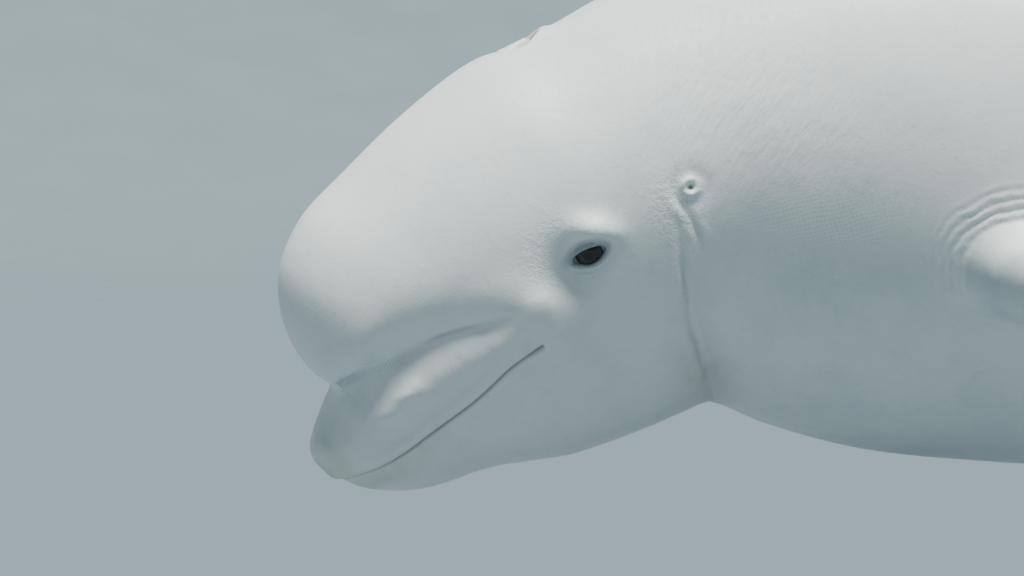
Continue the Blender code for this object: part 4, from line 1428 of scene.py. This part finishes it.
def made_by_nodes(name, tree, values):
    """The mesh that a tree of geometry nodes gives for named values."""
    obj = new_object(name, bpy.data.meshes.new(name))
    modifier = obj.modifiers.new("nodes", "NODES")
    modifier.node_group = tree
    for item in tree.interface.items_tree:
        if item.in_out == "INPUT" and item.name in values:
            modifier[item.identifier] = values[item.name]
    done = finished_mesh(obj)
    done.name = name
    bpy.data.objects.remove(obj)
    return done


def a_length(name, description, default):
    return FloatProperty(name=name, description=description, default=default, unit="LENGTH")


def an_amount(name, description, default):
    return FloatProperty(name=name, description=description, default=default, min=0)


def a_count(name, description, default):
    return IntProperty(name=name, description=description, default=default, min=0)


def a_place(name, description, default):
    return FloatVectorProperty(
        name=name, description=description, default=default, subtype="TRANSLATION", size=3
    )


def a_colour(name, description, default):
    return FloatVectorProperty(
        name=name, description=description, default=default, subtype="COLOR", size=3, min=0, max=1
    )


class WhaleForm(PropertyGroup):
    """Sizes of the skin's folds and lines, and of the eyes."""

    fineness: FloatProperty(
        name="Fineness", description="How finely the skin is meshed", default=1.0, min=0.3
    )
    fold_depth: a_length("Melon fold", "Depth of the crease under the melon", 0.0065)
    mouth_depth: a_length("Mouth line", "Depth of the line between the lips", 0.0034)
    furrow_depth: a_length("Lip furrow", "Depth of the furrow down the upper lip", 0.0030)
    crease_depth: a_length("Neck crease", "Depth of the creases behind the jaw", 0.0026)
    ear_depth: a_length("Ear", "Depth of the ear's opening", 0.0060)
    blowhole_depth: a_length("Blowhole", "Depth of the blowhole's slit", 0.0090)
    lid_height: a_length("Eyelids", "How far the lids stand out", 0.0018)
    ridge_height: a_length("Back ridge", "Height of the ridge on the back", 0.020)
    flipper_fold_height: a_length("Flipper folds", "Height of the skin rolls there", 0.0042)
    fillet_rounds: a_count("Fillet", "Rounds of smoothing where fins join the body", 90)
    snout_rounds: a_count("Snout", "Rounds of smoothing at the front of the beak", 14)
    cornea_bulge: a_length("Cornea", "How far the clear of the eye stands out", 0.0007)


class WhaleLook(PropertyGroup):
    """Colours of the skin, the eyes, the stand and the stage."""

    skin_light: a_colour("Skin", "The skin's main white", (0.80, 0.84, 0.84))
    skin_shade: a_colour("Skin shade", "Cloudy grey in the skin", (0.62, 0.70, 0.71))
    # painted highlight on the brow pad
    brow_highlight_tint: a_colour("Brow", "The pale pad over the eye", (0.88, 0.90, 0.90))
    skin_stain: a_colour("Stain", "Warm tinge on lips and throat", (0.44, 0.36, 0.25))
    fin_grey: a_colour("Fin edge", "Grey of the fins' edges", (0.36, 0.42, 0.45))
    # grey of the lids' edges, partly painted shade
    lid_grey_and_shade: a_colour("Lids", "Grey of the lids' edges", (0.20, 0.24, 0.25))
    # painted shade deep in a crease
    crease_shade: a_colour("Groove", "Colour deep in a crease", (0.13, 0.16, 0.17))
    iris: a_colour("Iris", "The eye's dark brown", (0.008, 0.006, 0.005))
    iris_light: a_colour("Iris streaks", "Streaks in the iris", (0.018, 0.012, 0.009))
    eye_rim: a_colour("Eye rim", "Rim of the eye", (0.012, 0.014, 0.018))
    pupil: a_colour("Pupil", "The pupil", (0.002, 0.002, 0.003))
    paint: a_colour("Base paint", "The stand's paint", (0.20, 0.24, 0.27))
    paint_dust: a_colour("Dust", "Dust on the paint", (0.36, 0.38, 0.39))
    steel: a_colour("Steel", "The rods' steel", (0.62, 0.63, 0.64))
    steel_dark: a_colour("Steel lines", "Lines in the steel", (0.44, 0.45, 0.46))
    rubber: a_colour("Rubber", "The pads' rubber", (0.035, 0.037, 0.040))
    rubber_bloom: a_colour("Rubber bloom", "Bloom on rubber", (0.10, 0.105, 0.11))
    floor: a_colour("Floor", "The studio's floor", (0.120, 0.166, 0.190))
    floor_shade: a_colour("Floor shade", "Soft clouding of the floor", (0.110, 0.154, 0.178))
    key: a_colour("Key light", "Colour of the light above", (1.0, 0.99, 0.95))
    fill: a_colour("Fill light", "Colour of the side light", (0.78, 0.93, 1.0))
    backdrop: a_colour("Backdrop", "Light from all round", (0.38, 0.61, 0.73))


class StandForm(PropertyGroup):
    """Sizes of the fittings on the stand."""

    flange_radius: a_length("Flange radius", "Radius of each rod's foot", 0.078)
    flange_height: a_length("Flange height", "Thickness of each rod's foot", 0.012)
    screw_count: a_count("Screws", "Screws in each foot", 6)
    screw_radius: a_length("Screw head", "Radius of a screw's head", 0.0075)
    pad_height: a_length("Pad height", "Height of the pads under the belly", 0.036)
    pad_wall: a_length("Pad wall", "Thickness of the pads' wall", 0.012)


class StageForm(PropertyGroup):
    """The floor, the lights and the camera."""

    floor_radius: a_length("Floor radius", "Radius of the flat floor", 34.0)
    key_from: a_place("Key from", "Where the key light comes from", (0.3, -1.0, 4.6))
    key_strength: an_amount("Key", "Strength of the light above", 9.0)
    key_spread: an_amount("Key spread", "Width of the key light, in degrees", 18)
    fill_from: a_place("Fill from", "Where the side light comes from", (-4.0, -6.0, 1.6))
    fill_strength: an_amount("Fill", "Strength of the side light", 0.05)
    fill_spread: an_amount("Fill spread", "Width of the side light, in degrees", 60)
    world_strength: an_amount("Surround", "Strength of the surround", 0.08)
    lens: an_amount("Lens", "Focal length in millimetres", 89.49)
    camera_at: a_place("Camera", "Where the camera is", (-1.98577, -2.75653, 0.67130))
    camera_to: a_place("Aim", "What the camera looks at", (-1.49970, 0, 0.59800))


class WHALE_OT_skin(Operator):
    """Make the whale's skin as one seamless piece"""

    bl_idname = "whale.skin"
    bl_label = "Skin"

    def execute(self, context):
        scene = context.scene
        mesh = make_skin_mesh(scene.whale_form)
        if len(mesh.polygons) > MOST_TRIANGLES:
            raise RuntimeError(f"the skin has {len(mesh.polygons)} triangles")
        finish = whale_skin_material(scene.whale_look)
        place_piece("whale_skin", mesh, finish, SKIN_NODES)
        return {"FINISHED"}


class WHALE_OT_eyes(Operator):
    """Make the two glossy eyeballs"""

    bl_idname = "whale.eyes"
    bl_label = "Eyes"

    def execute(self, context):
        scene = context.scene
        finish = eye_material(scene.whale_look)
        tree = tree_of(*plain_skin(ROUGH_FINENESS))
        for side in ("left", "right"):
            eye = EyeFrame(tree, f"eye_{side}")
            mesh = eyeball_mesh(f"eyeball_{side}", eye, scene.whale_form.cornea_bulge)
            place_piece(mesh.name, mesh, finish, (f"eye_{side}",))
        return {"FINISHED"}


class WHALE_OT_stand(Operator):
    """Finish the base and rods, and add their feet, screws and pads"""

    bl_idname = "whale.stand"
    bl_label = "Stand"

    def execute(self, context):
        look, form = context.scene.whale_look, context.scene.stand_form
        paint, steel = paint_material(look), steel_material(look)
        rubber = rubber_material(look)
        for node, finish in (
            ("stand_base", paint),
            ("stand_rod_front", steel),
            ("stand_rod_rear", steel),
        ):
            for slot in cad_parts[node].material_slots:
                slot.material = finish
        tree = screw_ring_tree(steel)
        skin = context.scene.objects["whale_skin"].data
        under = tree_of(*read_mesh(skin))
        for place in ("front", "rear"):
            low, high = (np.array(c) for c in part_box(f"stand_rod_{place}"))
            centre = (low + high)[:2] / 2
            radius = (high - low)[0] / 2
            foot = foot_mesh(f"rod_foot_{place}", centre, radius, low[2], form)
            place_piece(f"rod_foot_{place}", foot, steel)
            values = {
                "Count": form.screw_count,
                "Ring Radius": (form.flange_radius + radius) / 2 + SCREW_RING_OUT,
                "Head Radius": form.screw_radius,
                "Head Height": form.screw_radius * SCREW_HEIGHT_SHARE,
                "Centre": (*centre, low[2] + form.flange_height),
            }
            screws = made_by_nodes(f"foot_screws_{place}", tree, values)
            screws = rounded(screws, SCREW_ROUNDING, 2)
            place_piece(f"foot_screws_{place}", screws, steel)
            pad = pad_mesh(f"rod_pad_{place}", centre, radius, form, under)
            place_piece(f"rod_pad_{place}", pad, rubber)
        return {"FINISHED"}


def foot_mesh(name, centre, radius, floor, form):
    """A round steel foot, with a low collar that grips its rod."""
    wide, top = form.flange_radius, floor + form.flange_height
    profile = (
        (radius - 0.002, floor),
        (wide, floor),
        (wide, top - 0.003),
        (wide - 0.003, top),
        (radius + 0.012, top),
        (radius + 0.004, top + 0.003),
        (radius + 0.0006, top + 0.010),
        (radius - 0.002, top + 0.010),
    )
    rings = [circle(centre, ring, height) for ring, height in profile]
    return rounded(ring_mesh(name, rings), EDGE_ROUNDING)


def pad_mesh(name, centre, radius, form, under):
    """A rubber sleeve at the top of a rod, its upper rim shaped to the belly."""
    inner, outer = radius + 0.0004, radius + form.pad_wall
    rings = []
    for wide, share, drop in (
        (inner, 0.0, 0.0),
        (outer - 0.003, 0.0, 0.0),
        (outer, 0.08, 0.0),
        (outer + 0.001, 0.60, 0.0),
        (outer + 0.006, 0.90, 0.0),
        (outer + 0.006, 1.0, 0.0012),
        (outer + 0.001, 1.0, -0.0012),
        (inner, 1.0, -0.0012),
    ):
        ring = []
        for place in circle(centre, wide, ABOVE_BASE, around=72):
            hit = under.ray_cast(Vector(place), Vector((0, 0, 1)))[0]
            low = hit.z - form.pad_height
            ring.append((*place[:2], low + form.pad_height * share - drop))
        rings.append(ring)
    return rounded(ring_mesh(name, rings), EDGE_ROUNDING, 2)


def aimed(obj, place, target):
    """Puts an object at a place, facing a target."""
    way = Vector(target) - Vector(place)
    obj.location = place
    obj.rotation_euler = way.to_track_quat("-Z", "Y").to_euler()


def add_sun(name, place, strength, spread, colour):
    light = bpy.data.lights.new(name, "SUN")
    light.energy = strength
    light.angle = math.radians(spread)
    light.color = colour
    lamp = bpy.data.objects.new(name, light)
    bpy.context.scene.collection.objects.link(lamp)
    aimed(lamp, place, (0, 0, 0))


def sweep_mesh(form):
    """A round floor that curves up into a backdrop far behind the camera's reach."""
    flat = form.floor_radius
    turn = flat * 0.8
    rings = [(flat * share, 0.0) for share in (0.05, 0.2, 0.5, 0.8, 1.0)]
    for a in np.linspace(0, math.pi / 2, 25)[1:]:
        rings.append((flat + turn * math.sin(a), turn * (1 - math.cos(a))))
    rings = [circle((0, 0), *ring, around=96) for ring in reversed(rings)]
    mesh = ring_mesh("studio_floor", rings, tube=False)
    mesh.shade_smooth()
    return mesh


class WHALE_OT_stage(Operator):
    """Lay the floor, set the lights and place the camera"""

    bl_idname = "whale.stage"
    bl_label = "Stage"

    def execute(self, context):
        scene = context.scene
        look, form = scene.whale_look, scene.stage_form
        floor = new_object("studio_floor", sweep_mesh(form))
        floor.data.materials.append(floor_material(look))
        add_sun("key_light", form.key_from, form.key_strength, form.key_spread, look.key)
        add_sun("fill_light", form.fill_from, form.fill_strength, form.fill_spread, look.fill)
        world = bpy.data.worlds.new("studio_world")
        world.use_nodes = True
        backdrop = world.node_tree.nodes["Background"]
        backdrop.inputs["Color"].default_value = (*look.backdrop, 1)
        backdrop.inputs["Strength"].default_value = form.world_strength
        scene.world = world
        lens = bpy.data.cameras.new("camera")
        lens.lens = form.lens
        lens.sensor_width = SENSOR_WIDTH
        lens.clip_end = CAMERA_REACH
        camera = bpy.data.objects.new("camera", lens)
        scene.collection.objects.link(camera)
        aimed(camera, form.camera_at, form.camera_to)
        scene.camera = camera
        return {"FINISHED"}


class WHALE_PT_panel(Panel):
    """Lists the steps that make the whale"""

    bl_idname = "WHALE_PT_panel"
    bl_label = "Beluga whale"
    bl_space_type = "VIEW_3D"
    bl_region_type = "UI"
    bl_category = "Whale"

    def draw(self, context):
        scene = context.scene
        for operator, group in (
            ("whale.skin", scene.whale_form),
            ("whale.eyes", scene.whale_look),
            ("whale.stand", scene.stand_form),
            ("whale.stage", scene.stage_form),
        ):
            box = self.layout.box()
            box.operator(operator)
            for name in group.__annotations__:
                box.prop(group, name)


GROUPS = {
    "whale_form": WhaleForm,
    "whale_look": WhaleLook,
    "stand_form": StandForm,
    "stage_form": StageForm,
}
OPERATORS = (WHALE_OT_skin, WHALE_OT_eyes, WHALE_OT_stand, WHALE_OT_stage)


def register():
    for made in (*GROUPS.values(), *OPERATORS, WHALE_PT_panel):
        bpy.utils.register_class(made)
    for name, group in GROUPS.items():
        setattr(bpy.types.Scene, name, PointerProperty(type=group))


def unregister():
    for name in GROUPS:
        delattr(bpy.types.Scene, name)
    for made in reversed((*GROUPS.values(), *OPERATORS, WHALE_PT_panel)):
        bpy.utils.unregister_class(made)


def main():
    register()
    bpy.ops.whale.skin()
    bpy.ops.whale.eyes()
    bpy.ops.whale.stand()
    bpy.ops.whale.stage()


if __name__ == "__main__":
    main()
